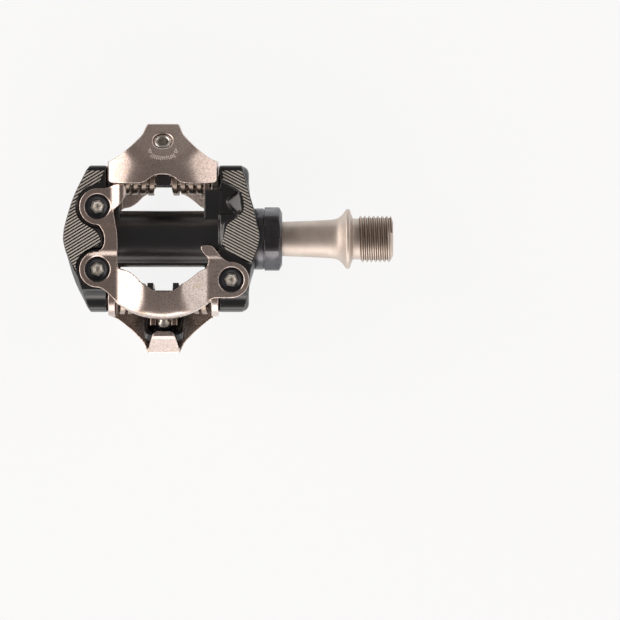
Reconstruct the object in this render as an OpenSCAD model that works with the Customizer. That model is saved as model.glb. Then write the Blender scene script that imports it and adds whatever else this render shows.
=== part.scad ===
// Double-sided clipless bicycle pedal, right-hand side, in millimetres.
// The spindle lies along +X with its shoulder face at the origin, +Z is the binding side that
// faces up, and -Y is the front of that side. The underside is the same mechanism turned half
// way round the spindle. Each piece is drawn about the pedal's middle and moved by pedal_offset.

/* [Layout] */
// Distance from the spindle's shoulder face to the middle of the pedal
pedal_offset = 55; // [53:0.5:60]
// Width of the rear claws over their two ears
claw_w = 32; // [29:0.1:35.8]
// Free space between each ear and the arm beside it
ear_gap = 0.5; // [0.3:0.05:1]
// Distance of each claw pivot from the spindle axis
pivot_y = 16.8; // [16.4:0.1:18]
// Half length of the body's arms, front to back
arm_end_y = 21.3; // [21:0.1:24]

/* [Body] */
// Diameter of the barrel between the arms
barrel_d = 16.4; // [16.2:0.1:18]
// Diameter of the barrel's bore for the bearing cartridge
cartridge_bore_d = 13.6; // [13.4:0.1:14]
// Height of the seats for the front claw plates above the spindle axis
seat_z = 8.4; // [8.2:0.1:10]
// Height of the striped decks above those seats
deck_rise = 1.2; // [0.4:0.1:2]
// Width of the outboard arm at its middle
outboard_mid_w = 12.5; // [11:0.1:15]
// Width of the outboard arm at its ends
outboard_end_w = 4.5; // [4:0.1:6]
// Width of the inboard arm at its middle
inboard_mid_w = 11.8; // [11:0.1:13]
// Width of the inboard arm at its ends
inboard_end_w = 6.5; // [6:0.1:7.5]
// Radius of the bosses round the pivot pins
boss_r = 4.4; // [4:0.1:4.6]
// Depth of the hollow in the inboard arm's deck
pocket_depth = 4.2; // [2:0.1:5]
// Gap left round each front claw lobe
lobe_gap = 1; // [0.3:0.1:1.6]

/* [Spindle] */
// Outside diameter of the pedal thread (9/16 inch)
thread_d = 14.29; // [14:0.01:14.3]
// Pitch of the pedal thread (20 turns per inch)
thread_pitch = 1.27; // [1.25:0.01:1.3]
// Number of thread crests
thread_crests = 6; // [5:1:8]
// Length of the plain neck under the thread
neck_len = 2.3; // [1.5:0.1:4]
// Diameter of the neck and of the thread's root
neck_d = 11.9; // [11:0.1:12.4]
// Diameter of the flange that meets the crank
flange_d = 17.5; // [16:0.1:19]
// Diameter of the spindle where it runs in the bush
journal_d = 10; // [9:0.1:10.4]
// Diameter of the spindle between the two ball rows
inner_neck_d = 6.6; // [6:0.1:7]
// Diameter of the thread that holds the cone
tail_d = 6; // [5:0.1:6.4]
// Across flats of the hex socket in the crank end
socket_af = 8; // [6:0.5:8]
// Depth of that hex socket
socket_depth = 7; // [5:0.5:9]

/* [Bearings] */
// Ball diameter (3/32 inch)
ball_d = 2.38; // [2:0.01:2.4]
// Number of balls in each row
ball_count = 12; // [8:1:12]
// Diameter of the circle through the ball centres
ball_pitch_d = 9.5; // [9.5:0.05:9.8]
// Distance between the two ball rows
row_gap = 9; // [7:0.1:10]
// Distance from the pedal's middle out to the first ball row
first_row = 1.5; // [0:0.1:3]
// Running clearance between sliding surfaces, measured on the radius
run_gap = 0.04; // [0.02:0.01:0.08]
// Clearance between pieces that are pushed or screwed together
seat_gap = 0.02; // [0.01:0.01:0.05]

/* [Lock collar] */
// Across flats of the collar's hexagon
collar_af = 17; // [16:0.5:18]
// Length of the hexagon
collar_hex_len = 5; // [4:0.1:7]
// Diameter of the round flange behind the hexagon
collar_flange_d = 17.9; // [17.5:0.1:19]
// Thickness of that flange
collar_flange_len = 2.9; // [2:0.1:4]
// Diameter of the collar's thread in the body
collar_thread_d = 14.8; // [14.6:0.1:15]
// Length of that thread
collar_thread_len = 10; // [8:0.5:11]

/* [Front claw] */
// Thickness of the pressed steel plate
plate_t = 1.5; // [1.2:0.1:2]
// Radius of the round lobes under the screws
lobe_r = 5.25; // [5:0.05:5.6]
// Rise of the strap above the lobes
strap_rise = 1.2; // [0.8:0.1:2]
// Half width of the arch where its legs meet the plate
arch_half_w = 13.1; // [12:0.1:13.4]
// Height of the arch's crest above the spindle axis
arch_top_z = 15.4; // [14:0.1:17]
// Slope of the arch's two legs
leg_slope = 38; // [30:1:45]
// Slope of the arch's roof, rising to the front
roof_slope = 12; // [0:1:16]
// Radius of the arch's rounded front rim, seen from above
rim_r = 21.1; // [20.5:0.1:22]
// Radius of the roll at the rim's top edge
rim_roll_r = 4; // [3:0.1:5]
// Diameter of the claw screws' heads
screw_head_d = 7; // [6:0.1:7.2]
// Diameter of the claw screws' threads
screw_d = 5; // [4:0.1:5]
// Length of the screws below the plate
screw_len = 4.6; // [3:0.1:4.8]

/* [Rear claw] */
// Thickness of the ears
ear_t = 2; // [1.6:0.1:2.4]
// Thickness of the sloping plate
claw_t = 1.8; // [1.5:0.1:2]
// Radius of the ears round the pivot pin
ear_r = 5.6; // [5:0.1:6]
// Height of the hooking edge above the spindle axis
hook_z = 14.6; // [13.5:0.1:15.5]
// Slope of the plate from the bend to the tip
tip_slope = 38; // [32:1:42]
// Distance of the tip from the spindle axis
tip_y = 33.4; // [32:0.1:35]
// Half width of the tip
tip_half_w = 4.5; // [4:0.1:5.5]
// Distance of the tension bolt's hole from the spindle axis
bolt_y = 28.5; // [28:0.1:29]
// Diameter of the pivot pin
pin_d = 3.8; // [3.4:0.1:4]

/* [Springs] */
// Wire diameter
wire_d = 2; // [1.6:0.1:2]
// Mean diameter of the coil
coil_d = 6.2; // [6.2:0.1:6.6]
// Number of turns in each spring
coil_turns = 4; // [3:1:4]
// Distance from the pedal's middle to the first turn
coil_in = 3.1; // [3.1:0.1:3.2]
// Free space between the last turn and the claw's ear
coil_gap = 0.4; // [0.2:0.1:1]

/* [Tension screw] */
// Diameter of the tension bolt's thread
bolt_d = 4; // [3.5:0.1:4]
// Pitch of that thread
bolt_pitch = 0.7; // [0.5:0.05:0.8]
// Diameter of its head
bolt_head_d = 4.7; // [4.5:0.1:5]
// Distance from the claw plate's outer face to the bolt's tip
bolt_reach = 8; // [7.8:0.1:8.4]
// Distance from the claw plate's outer face to the bracket
bracket_depth = 4.05; // [4:0.05:4.2]
// Thickness of the bracket's base
bracket_t = 1.3; // [1:0.1:1.4]
// Width between the bracket's cheeks
bracket_gap = 8.5; // [8.4:0.1:8.8]
// Thickness of the bracket's cheeks
cheek_t = 1.4; // [1:0.1:1.6]

/* [Hidden] */
$fn = 48;

nickel = [0.72, 0.62, 0.57];
steel = [0.66, 0.62, 0.57];
black = [0.10, 0.10, 0.11];
far = 60;                                     // reach of a cutting block, past every piece

// Places along the spindle, from the pedal's middle
arm_in = claw_w / 2 + ear_gap;                // inner side of both arms
boss_in = claw_w / 2 + 0.3 * ear_gap;         // face of the bosses beside the claw's ears
coil_out = claw_w / 2 - ear_t - wire_d / 2 - coil_gap;
mouth_x = arm_in + inboard_mid_w - 1.6;       // face of the body that the collar meets
collar_x = mouth_x + collar_flange_len;       // start of the collar's hexagon
collar_end_x = collar_x + collar_hex_len;
first_row_x = -first_row;
second_row_x = first_row_x - row_gap;
race_depth = ball_d / 2 + run_gap;            // radius of the grooves that the balls run in
cone_r = ball_pitch_d / 2 + 0.1;
cone_len = 3.7;
washer_t = 0.6;
locknut_len = 2.4;
cone_end_x = second_row_x - cone_len;
washer_end_x = cone_end_x - washer_t - 0.1;
locknut_end_x = washer_end_x - locknut_len - 0.1;
tail_x = locknut_end_x - 0.8;
sleeve_end_x = cone_end_x - 0.6;
bore_end_x = sleeve_end_x - 0.4;
pocket_end_x = tail_x - 0.6;
sleeve_in_x = mouth_x - collar_thread_len - 0.3;
sleeve_r = cartridge_bore_d / 2 - 0.05;
bush_r = journal_d / 2 + 1.1;

// Places of the front claw's screws
outboard_lobes = [[-arm_in - 2.45, 9.3], [-arm_in - 2.45, -8.9]];
inboard_lobe = [arm_in + 3.35, -11.95];
lobes = concat(outboard_lobes, [inboard_lobe]);

// The rear claw's planes: [point, pitch down to the back, roll to the side]
hook_pitch = 11;
bend = [0, 22.3, hook_z - 6 * tan(hook_pitch)];
wing_x = 8.4;
wing_y = 23.5;
wing_z = hook_z - 2.4;
wing_pitch = 23;
wing_roll = 27;
bolt_z = bend.z - (bolt_y - bend.y) * tan(tip_slope);
tip_z = bend.z - (tip_y - bend.y) * tan(tip_slope);

// ---- helpers -------------------------------------------------------------------------------

// Points on a shallow arc from p to q that stands s proud of the straight line, to its left
function bulge(p, q, s, n = 5) =
  let (d = q - p, side = [-d.y, d.x] / norm(d))
  [for (i = [0:n]) p + d * (i / n) + side * (4 * s * (i / n) * (1 - i / n))];

// The same outline on the other side of the pedal's middle
function mirrored(points) = [for (i = [len(points) - 1:-1:0]) [-points[i].x, points[i].y]];

// A YZ outline drawn out along X from x0 to x1
module along_x(x0, x1) {
  translate([x0, 0, 0]) rotate([90, 0, 90]) linear_extrude(x1 - x0) children();
}

// An XZ outline drawn out along Y from y0 to y1
module along_y(y0, y1) {
  translate([0, y1, 0]) rotate([90, 0, 0]) linear_extrude(y1 - y0) children();
}

// An XY outline drawn up from z0 to z1
module along_z(z0, z1) {
  translate([0, 0, z0]) linear_extrude(z1 - z0) children();
}

// A bar of round section along X
module bar(r, x0, x1) {
  translate([x0, 0, 0]) rotate([0, 90, 0]) cylinder(r = r, h = x1 - x0);
}

// A profile of [radius, place along X] points turned about the spindle axis
module turned(points) {
  rotate([0, 90, 0]) rotate_extrude($fn = 96) polygon(points);
}

// All that lies below a sloping plane through a point
module below(point, pitch, roll, depth = 0) {
  translate(point) rotate([-pitch, roll, 0])
    translate([-far, -far, -2 * far - depth]) cube(2 * far);
}

// The tension bolt's own frame: +Z points out of the claw plate's outer face
module bolt_frame() {
  translate([0, bolt_y, bolt_z]) rotate([-tip_slope, 0, 0]) children();
}

// The claw pivot's own frame: +X along the pin
module pivot_frame() {
  translate([0, pivot_y, 0]) children();
}

// Places a piece of the top mechanism in the row's frame
module on_top() {
  translate([-pedal_offset, 0, 0]) children();
}

// Places the same piece in the underside mechanism
module underneath() {
  translate([-pedal_offset, 0, 0]) rotate([180, 0, 0]) children();
}

// ---- spindle and bearings --------------------------------------------------------------------

module spindle() {
  c = pedal_offset;
  root = neck_d / 2;
  crest = thread_d / 2;
  flat = 0.16;
  first = neck_len + thread_pitch;
  thread = [for (i = [0:thread_crests - 1]) let (x = first + i * thread_pitch)
    each [[root, x - 0.55], [crest, x - flat / 2], [crest, x + flat / 2], [root, x + 0.55]]];
  end = first + thread_crests * thread_pitch + 0.7;
  flange = flange_d / 2;
  journal = journal_d / 2;
  shaft_end = collar_end_x - c;
  color(steel) difference() {
    turned(concat(
      [[0, end], [root - 1.3, end], [root, end - 0.9]],
      [for (i = [len(thread) - 1:-1:0]) thread[i]],
      [[root, 0.3], [root + 0.3, 0], [flange - 1, 0], [flange - 0.4, -0.6], [flange, -1.4],
       [flange - 0.35, -2],
       [flange - 1.2, -2.6], [flange - 1.95, -3.2], [journal + 1.1, -4.2],
       [journal + 0.7, -5.3], [journal + 0.4, -10], [journal, shaft_end + 0.4],
       [journal, sleeve_in_x - c], [4.2, first_row_x + 6 - c], [cone_r, first_row_x + 3.2 - c],
       [cone_r, first_row_x - c], [inner_neck_d / 2, first_row_x - c],
       [inner_neck_d / 2, second_row_x + 0.4 - c], [tail_d / 2, second_row_x + 0.1 - c],
       [tail_d / 2, tail_x + 0.5 - c], [tail_d / 2 - 0.5, tail_x - c], [0, tail_x - c]]
    ));
    translate([first_row_x - c, 0, 0]) race_ring();
    translate([end - socket_depth, 0, 0]) rotate([0, 90, 0])
      cylinder(d = socket_af / cos(30), h = socket_depth + 1, $fn = 6);
  }
}

// The ring that a row of balls runs in
module race_ring() {
  rotate([0, 90, 0]) rotate_extrude($fn = 96) translate([ball_pitch_d / 2, 0])
    circle(race_depth, $fn = 32);
}

module bearing_cone() {
  color(steel) translate([-pedal_offset, 0, 0]) difference() {
    turned([[tail_d / 2 + seat_gap, cone_end_x], [cone_r, cone_end_x], [cone_r, second_row_x],
            [tail_d / 2 + seat_gap, second_row_x]]);
    translate([second_row_x, 0, 0]) race_ring();
  }
}

module lock_washer() {
  r = tail_d / 2 + seat_gap;
  color(steel) translate([-pedal_offset, 0, 0])
    turned([[r, washer_end_x], [cone_r, washer_end_x], [cone_r, cone_end_x - 0.1],
            [r, cone_end_x - 0.1]]);
}

module cone_locknut() {
  color(steel) translate([locknut_end_x - pedal_offset, 0, 0]) rotate([0, 90, 0]) difference() {
    cylinder(d = 9 / cos(30), h = locknut_len, $fn = 6);
    translate([0, 0, -1]) cylinder(d = tail_d + 2 * seat_gap, h = locknut_len + 2);
  }
}

module ball_row(x) {
  color(steel) for (i = [0:ball_count - 1])
    translate([x - pedal_offset, 0, 0]) rotate([i * 360 / ball_count, 0, 0])
      translate([0, ball_pitch_d / 2, 0]) sphere(d = ball_d, $fn = 24);
}

module inner_balls() {
  ball_row(first_row_x);
}

module outer_balls() {
  ball_row(second_row_x);
}

// Tube round the spindle with a race at each end of its inner rib
module bearing_sleeve() {
  hollow = ball_pitch_d / 2 + race_depth - 0.1;
  rib = ball_pitch_d / 2 - 0.6;
  color([0.75, 0.75, 0.74]) translate([-pedal_offset, 0, 0]) difference() {
    turned([[sleeve_r, sleeve_end_x], [sleeve_r, sleeve_in_x], [hollow, sleeve_in_x],
            [hollow, first_row_x], [rib, first_row_x], [rib, second_row_x],
            [hollow, second_row_x], [hollow, sleeve_end_x]]);
    translate([first_row_x, 0, 0]) race_ring();
    translate([second_row_x, 0, 0]) race_ring();
  }
}

module plain_bush() {
  r = journal_d / 2 + run_gap;
  color([0.85, 0.84, 0.80]) translate([-pedal_offset, 0, 0])
    turned([[r, sleeve_in_x + 0.4], [bush_r, sleeve_in_x + 0.4], [bush_r, collar_x + 1],
            [r, collar_x + 1]]);
}

// Hexagon collar that screws into the body and holds the bearing cartridge
module lock_collar() {
  inner = bush_r + seat_gap;
  thread_r = collar_thread_d / 2 - seat_gap;
  seal_x = collar_end_x - 2.2;
  color(black) translate([-pedal_offset, 0, 0]) difference() {
    union() {
      bar(thread_r, mouth_x - collar_thread_len, collar_x);
      bar(collar_flange_d / 2, mouth_x + seat_gap, collar_x);
      intersection() {
        translate([collar_x, 0, 0]) rotate([-5.5, 0, 0]) rotate([0, 90, 0])
          rotate([0, 0, 30]) cylinder(d = collar_af / cos(30), h = collar_hex_len, $fn = 6);
        turned([[0, collar_x], [9.3, collar_x], [9.3, collar_end_x - 0.9],
                [7.6, collar_end_x], [0, collar_end_x]]);
      }
    }
    bar(inner, mouth_x - far, seal_x);
    bar(journal_d / 2 + 0.4, seal_x - 1, collar_end_x + 1);
    bar(journal_d / 2 + 1.5, seal_x, collar_end_x - 0.6);
  }
}

module axle_seal() {
  r = journal_d / 2 + run_gap;
  color([0.16, 0.16, 0.16]) translate([-pedal_offset, 0, 0])
    turned([[r, collar_end_x - 2.1], [r + 1.4, collar_end_x - 2.1],
            [r + 1.4, collar_end_x - 0.7], [r, collar_end_x - 0.7]]);
}

// ---- body --------------------------------------------------------------------------------

// Side view of the arms, up to a given height at the middle; half of it is drawn and turned
function arm_side(top) =
  let (half = [[arm_end_y, -2], [arm_end_y, top - 3.4], [arm_end_y - 1.1, top - 2.2],
               [6, top], [-14.2, top], [-17, 4.9], [-19.6, 4.1]])
  concat(half, [for (p = half) -p]);

// Outline of the outboard arm from above
function outboard_outline() =
  let (tip = -arm_in - outboard_mid_w, end = -arm_in - outboard_end_w)
  concat([[-arm_in, arm_end_y], [end, arm_end_y]],
         bulge([end - 1.5, arm_end_y - 1.4], [tip, 0.4], -1),
         bulge([tip, -0.6], [end - 0.8, -arm_end_y + 1.6], -0.3, 3),
         [[end - 0.2, -arm_end_y], [-arm_in, -arm_end_y]]);

// Outline of the inboard arm from above
function inboard_outline() =
  let (tip = arm_in + inboard_mid_w, end = arm_in + inboard_end_w)
  concat([[arm_in, -arm_end_y], [end, -arm_end_y], [end + 0.9, -arm_end_y + 1.8],
          [end + 2, -15], [end + 2.6, -10.4]],
         [[tip - 0.9, -3.4], [tip, 0.6]],
         bulge([tip - 0.9, 4.4], [end + 0.9, 17.4], -0.4, 3),
         [[end, arm_end_y], [arm_in, arm_end_y]]);

// Both outlines, with the underside's, so that the arms cover either side
module arm_plan() {
  polygon(outboard_outline());
  polygon(inboard_outline());
}

// The part of the decks that stands above the front claw's seats
module deck_plan() {
  seat_r = lobe_r + lobe_gap;
  edge = -arm_in + 0.9;
  difference() {
    arm_plan();
    for (p = lobes) translate(p) circle(seat_r);
    // outboard: the strap's side and the guide tab's corner
    polygon([[edge - 2.6, 16.6], [edge - 1.2, 20], [edge + 3, 20], [edge + 3, -far],
             [edge - 3, -far], [edge - 3, -3.6], [edge - 2.1, -2], [edge - 1.9, 0],
             [edge - 2.2, 1.6], [edge - 3.2, 3.4], [edge - 3.2, 15]]);
    // nothing stands up in front of the lobes
    translate([-far, -far - 9.6]) square([far, far]);
    polygon([[arm_in - 1, -far], [far, -far], [far, -7.2], [arm_in + 8.5, -7],
             [arm_in + 6.5, -5.9], [arm_in + 4.5, -4.8], [arm_in + 2.2, -3.7],
             [arm_in - 1, -2]]);
    pocket_plan();
    polygon([[arm_in - 1, -far], [arm_in + 1.4, -far], [arm_in + 1.2, -1.5], [arm_in + 1.8, 2],
             [arm_in + 2.4, 4.4], [arm_in + 4.6, 5.6], [arm_in + 5.8, 7], [arm_in - 1, 7]]);
  }
}

// The hollow in the inboard deck, open to the claw
module pocket_plan() {
  x = arm_in;
  polygon([[x - 1, 6.6], [x + 3.6, 6.6], [x + 5.6, 7.4], [x + 7, 9], [x + 7, 10.6],
           [x + 6.2, 13.4], [x + 4.6, 14.7], [x + 1, 17], [x - 1, 17]]);
}

// The ledge on one arm that a spring's short leg pushes up against
module spring_stop(side) {
  start = coil_out - wire_d / 2 - 0.2;
  width = arm_in - start + 1;
  low = (coil_d + wire_d) / 2 + 0.05;
  translate([side * (start + width / 2) - width / 2, barrel_d / 2 - 2, low])
    cube([width, 4, 1.8]);
}

module body_casting() {
  top = seat_z;
  color(black) on_top() difference() {
    union() {
      bar(barrel_d / 2, -arm_in - 1, mouth_x - 0.5);
      bar(collar_flange_d / 2, arm_in, mouth_x);
      intersection() {
        along_z(-far, far) arm_plan();
        along_x(-far, far) polygon(arm_side(top));
      }
      intersection() {
        rotate([180, 0, 0]) along_z(-far, far) arm_plan();
        along_x(-far, far) polygon(arm_side(top));
      }
      for (turn = [0, 180]) rotate([turn, 0, 0]) {
        intersection() {
          along_z(0, far) deck_plan();
          along_x(-far, far) polygon(arm_side(top + deck_rise));
        }
        pivot_frame() bar(boss_r, -boss_in - 3, -boss_in);
        pivot_frame() bar(boss_r, boss_in, arm_in + inboard_end_w + 1.9);
        for (side = [-1, 1]) spring_stop(side);
      }
    }
    bar(cartridge_bore_d / 2, bore_end_x, mouth_x);
    bar(collar_flange_d / 2 + 0.1, mouth_x, far);
    bar(5.6, pocket_end_x, bore_end_x + 1);
    bar(collar_thread_d / 2, mouth_x - collar_thread_len - 0.2, mouth_x + far);
    for (turn = [0, 180]) rotate([turn, 0, 0]) {
      for (p = lobes) translate([p.x, p.y, seat_z - screw_len - 0.3])
        cylinder(d = screw_d + 2 * seat_gap, h = far);
      pivot_frame() bar(pin_d / 2 + seat_gap, -arm_in - 3.6, far);
      along_z(seat_z + deck_rise - pocket_depth, far) pocket_plan();
    }
  }
}

// ---- front claw: the fixed plate that holds the front of the cleat --------------------------

// Plan of the outboard strap with its two lobes
module strap_plan() {
  a = outboard_lobes[0];
  b = outboard_lobes[1];
  bend_x = -arch_half_w - 0.2;
  translate(a) circle(lobe_r);
  translate(b) circle(lobe_r);
  polygon([[a.x, a.y + lobe_r], [bend_x - 1.5, 15.1], [bend_x - 1.5, 8.4],
           [bend_x - 0.5, 5], [bend_x + 0.2, 0], [bend_x + 0.2, -4], [bend_x, -8],
           [bend_x, -18.4], [bend_x - 2.8, -15.6], [b.x, b.y - lobe_r], [b.x, b.y + lobe_r],
           [b.x + 1.7, -2.6], [b.x + 2.2, 0], [b.x + 1.8, 2.2], [a.x, a.y - lobe_r]]);
}

// Side view of the strap: flat at the lobes and raised between them
function strap_side() =
  let (low = [[far, seat_z], [4.7, seat_z], [3.1, seat_z + strap_rise],
              [-3.3, seat_z + strap_rise], [-5.1, seat_z], [-far, seat_z]])
  concat(low, [for (i = [len(low) - 1:-1:0]) low[i] + [0, plate_t]]);

// Plan of the inboard lobe, its landing and the finger over the barrel
module landing_plan() {
  p = inboard_lobe;
  bend_x = arch_half_w - 0.2;
  translate(p) circle(lobe_r);
  polygon([[bend_x, -18.4], [bend_x + 1.3, -17.5], [bend_x + 2.4, p.y - lobe_r],
           [p.x, p.y - lobe_r], [p.x, -6.3], [bend_x + 4.8, -5.9], [bend_x + 3.7, -5],
           [bend_x + 1.7, -2.4], [bend_x + 1.1, -1.9], [bend_x - 1.2, -1.9],
           [bend_x - 1.8, -2.4], [bend_x - 1.7, -3.2], [bend_x - 0.6, -4.8],
           [bend_x + 0.4, -6.2], [bend_x + 0.2, -8]]);
}

// Side view of the landing: the finger is raised as the strap is
function landing_side() =
  let (low = [[far, seat_z + strap_rise], [-4.9, seat_z + strap_rise], [-6.1, seat_z],
              [-far, seat_z]])
  concat(low, [for (i = [len(low) - 1:-1:0]) low[i] + [0, plate_t]]);

// All that lies under the arch's outer skin, or its inner one when lowered by the plate
module under_arch(depth) {
  foot_z = seat_z + plate_t;
  intersection() {
    below([-arch_half_w, 0, foot_z], 0, -leg_slope, depth);
    below([arch_half_w, 0, foot_z], 0, leg_slope, depth);
    below([0, -19.5, arch_top_z], -roof_slope, 0, depth);
    translate([0, -2.2, 0]) rotate_extrude($fn = 96) {
      square([rim_r - depth, arch_top_z + 0.6 - rim_roll_r]);
      square([rim_r - rim_roll_r, arch_top_z + 0.6 - depth]);
      translate([rim_r - rim_roll_r, arch_top_z + 0.6 - rim_roll_r])
        circle(rim_roll_r - depth);
    }
  }
}

// Plan of the arch, open towards the middle of the pedal
module arch_plan() {
  half = [[13.3, -8.4], [11, -9.6], [8.6, -11], [6.2, -13], [4.4, -14.3], [2.3, -15.4]];
  polygon(concat(half, mirrored(half), [[-far, -8.4], [-far, -far], [far, -far], [far, -8.4]]));
}

module arch() {
  intersection() {
    difference() {
      under_arch(0);
      under_arch(plate_t);
    }
    along_z(seat_z, far) arch_plan();
    translate([-arch_half_w - 0.4, -far, 0]) cube([2 * arch_half_w + 0.8, far, far]);
  }
}

// The tab beside the outboard lobe, which rises towards the cleat
module guide_tab() {
  x = -arch_half_w - 1.7;
  rise = 4.3;
  intersection() {
    along_z(0, far) polygon([[x - 0.3, 15.1], [x + 1, 15.7], [x + 3.8, 15.7], [x + 4.3, 14.8],
                             [x + 4.3, 12.3], [x + 2.6, 10], [x + 1.4, 9.1], [x - 0.3, 8.3]]);
    along_y(0, far) polygon([[x - 0.3, seat_z], [x, seat_z],
                             [x + rise, seat_z + rise * tan(leg_slope)],
                             [x + rise, seat_z + rise * tan(leg_slope) + plate_t + 0.3],
                             [x, seat_z + plate_t], [x - 0.3, seat_z + plate_t]]);
  }
}

module front_claw() {
  hole_r = screw_head_d / 2 + 0.25;
  color(nickel) difference() {
    union() {
      intersection() {
        along_z(0, far) strap_plan();
        along_x(-far, far) polygon(strap_side());
      }
      intersection() {
        along_z(0, far) landing_plan();
        along_x(-far, far) polygon(landing_side());
      }
      arch();
      guide_tab();
    }
    for (p = lobes) translate([p.x, p.y, seat_z]) {
      translate([0, 0, -0.01])
        cylinder(r1 = hole_r - 0.9, r2 = hole_r, h = plate_t + 0.02);
    }
  }
}

// Three countersunk screws with a dished head and a hex socket
module claw_screws() {
  head_r = screw_head_d / 2;
  color(black) for (p = lobes) translate([p.x, p.y, seat_z]) difference() {
    union() {
      translate([0, 0, seat_gap])
        cylinder(r1 = head_r - 0.9, r2 = head_r, h = plate_t - 0.1);
      translate([0, 0, -screw_len]) cylinder(d = screw_d, h = screw_len + 0.1);
    }
    translate([0, 0, plate_t - 0.6])
      cylinder(r1 = head_r - 1.6, r2 = head_r - 0.4, h = 0.7);
    translate([0, 0, plate_t - 2.6]) cylinder(d = 3 / cos(30), h = 3, $fn = 6);
  }
}

// ---- rear claw: the sprung plate that lets the cleat go ---------------------------------------

// All that lies under the claw's outer skin, or its inner one when lowered by the plate
module under_claw(depth) {
  intersection() {
    below([0, 16.3, hook_z], hook_pitch, 0, depth);
    below(bend, tip_slope, 0, depth);
    below([-wing_x, wing_y, wing_z], wing_pitch, -wing_roll, depth);
    below([wing_x, wing_y, wing_z], wing_pitch, wing_roll, depth);
    translate([-claw_w / 2, -far, -far]) cube([claw_w, 2 * far, 2 * far]);
  }
}

// Plan of the claw plate
module claw_plan() {
  side = claw_w / 2;
  half = concat([[0, 18.6], [3.2, 18.1], [5, 16.9], [6.8, 16.2], [side - 2.4, 16.2],
                 [side - 0.9, 16.9], [side, 22.5], [side - 3.5, 24.6]],
                bulge([side - 4.4, 25.2], [tip_half_w + 0.4, tip_y - 1], 0.9, 5),
                [[tip_half_w, tip_y]]);
  polygon(concat(half, mirrored(half)));
}

// Side view of the ears
module ear_side() {
  translate([pivot_y, 0]) circle(ear_r);
  polygon([[pivot_y - ear_r, 0], [pivot_y - ear_r + 1, 4.5], [16.9, 10.4], [16.9, far],
           [22.5, far], [22.5, 6], [pivot_y + ear_r, 0]]);
}

// The tab folded back under the tip
module tip_tab() {
  fold = 1.6;
  lip = [tip_y - 6.5, -0.6];
  tip_low = [tip_y, tip_z];
  intersection() {
    along_x(-far, far) polygon([tip_low, [tip_y, tip_z - 1.2], lip + [0.6, -fold],
                                lip + [-0.2, -fold + 0.5], lip + [0, 0.2],
                                [tip_y - 1.6, tip_z - 0.9], [tip_y - 2.2, tip_z + 1.7]]);
    along_z(-far, far) polygon([[-tip_half_w, tip_y], [0.4 - tip_half_w, tip_y - 1.9],
                                [1 - tip_half_w, tip_y - 5.5], [1.8 - tip_half_w, tip_y - 6.7],
                                [tip_half_w - 1.8, tip_y - 6.7], [tip_half_w - 1, tip_y - 5.5],
                                [tip_half_w - 0.4, tip_y - 1.9], [tip_half_w, tip_y]]);
  }
}

module rear_claw() {
  color(nickel) difference() {
    union() {
      intersection() {
        difference() {
          under_claw(0);
          under_claw(claw_t);
        }
        along_z(-far, far) claw_plan();
        translate([-far, 0, tip_z - 1.2]) cube([2 * far, far, far]);
      }
      for (side = [-1, 1]) intersection() {
        under_claw(0);
        translate([side * (claw_w - ear_t) / 2 - ear_t / 2, 0, -far])
          cube([ear_t, far, 2 * far]);
        along_x(-far, far) ear_side();
      }
      tip_tab();
    }
    bolt_frame() translate([0, 0, -1]) cylinder(d = bolt_head_d + 0.95, h = far);
    bolt_frame() translate([0, 0, -claw_t - 1])
      cylinder(d = bolt_d + 2 * run_gap, h = far);
    pivot_frame() bar(pin_d / 2 + run_gap, -far, far);
  }
}

module pivot_pin() {
  end = arm_in + inboard_end_w + 1.9;
  color(steel) pivot_frame() bar(pin_d / 2, -arm_in - 3.4, end);
}

// Black saddle on the pin that keeps the two springs apart
module spring_spacer() {
  half = coil_in - wire_d / 2 - 0.1;
  drop = coil_d / 2 + wire_d / 2 + 0.2;
  color(black) difference() {
    union() {
      translate([-half, pivot_y - 1.3, -drop - 1]) cube([2 * half, 4.7, 2 * drop + 0.8]);
      for (side = [-1, 1]) translate([side * 3.45 - 1.15, pivot_y - 4, -drop - 1.2])
        cube([2.3, 7.4, 1.2]);
      translate([-4.6, pivot_y + 0.4, -drop - 1.2]) cube([9.2, 3, 1.2]);
    }
    pivot_frame() bar(pin_d / 2 + seat_gap, -far, far);
  }
}

// ---- springs -------------------------------------------------------------------------------

// Points along one spring: the long leg to the bracket, the coil and the short leg to the barrel
function spring_path(steps = 16) =
  let (r = coil_d / 2, run = coil_out - coil_in, last = 360 * coil_turns + 6)
  concat(
    [[coil_in, pivot_y + 10.4, 1.8], [coil_in, pivot_y + 5, 2.6]],
    [for (i = [0:last * steps / 360]) let (a = 84 + i * 360 / steps)
      [coil_in + run * i / (last * steps / 360), pivot_y + r * cos(a), r * sin(a)]],
    [[coil_out, pivot_y - 4, r], [coil_out, pivot_y - 8, r]]
  );

// A round wire along a path, as one closed mesh
module wire(path, r, sides = 8) {
  n = len(path);
  function heading(i) = let (d = path[min(i + 1, n - 1)] - path[max(i - 1, 0)]) d / norm(d);
  rings = [for (i = [0:n - 1])
    let (t = heading(i), out = [0, path[i].y - pivot_y, path[i].z],
         flat = out - t * (out * t), u = flat / norm(flat), v = cross(t, u))
    for (k = [0:sides - 1]) path[i] + r * (u * cos(k * 360 / sides) + v * sin(k * 360 / sides))];
  faces = concat(
    [for (i = [0:n - 2], k = [0:sides - 1]) let (j = (k + 1) % sides)
      each [[i * sides + k, (i + 1) * sides + j, i * sides + j],
            [i * sides + k, (i + 1) * sides + k, (i + 1) * sides + j]]],
    [[for (k = [0:sides - 1]) k]],
    [[for (k = [sides - 1:-1:0]) (n - 1) * sides + k]]
  );
  polyhedron(rings, faces);
}

module inboard_spring() {
  color(nickel) wire(spring_path(), wire_d / 2);
}

module outboard_spring() {
  color(nickel) mirror([1, 0, 0]) wire(spring_path(), wire_d / 2);
}

// ---- tension screw -----------------------------------------------------------------------------

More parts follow.
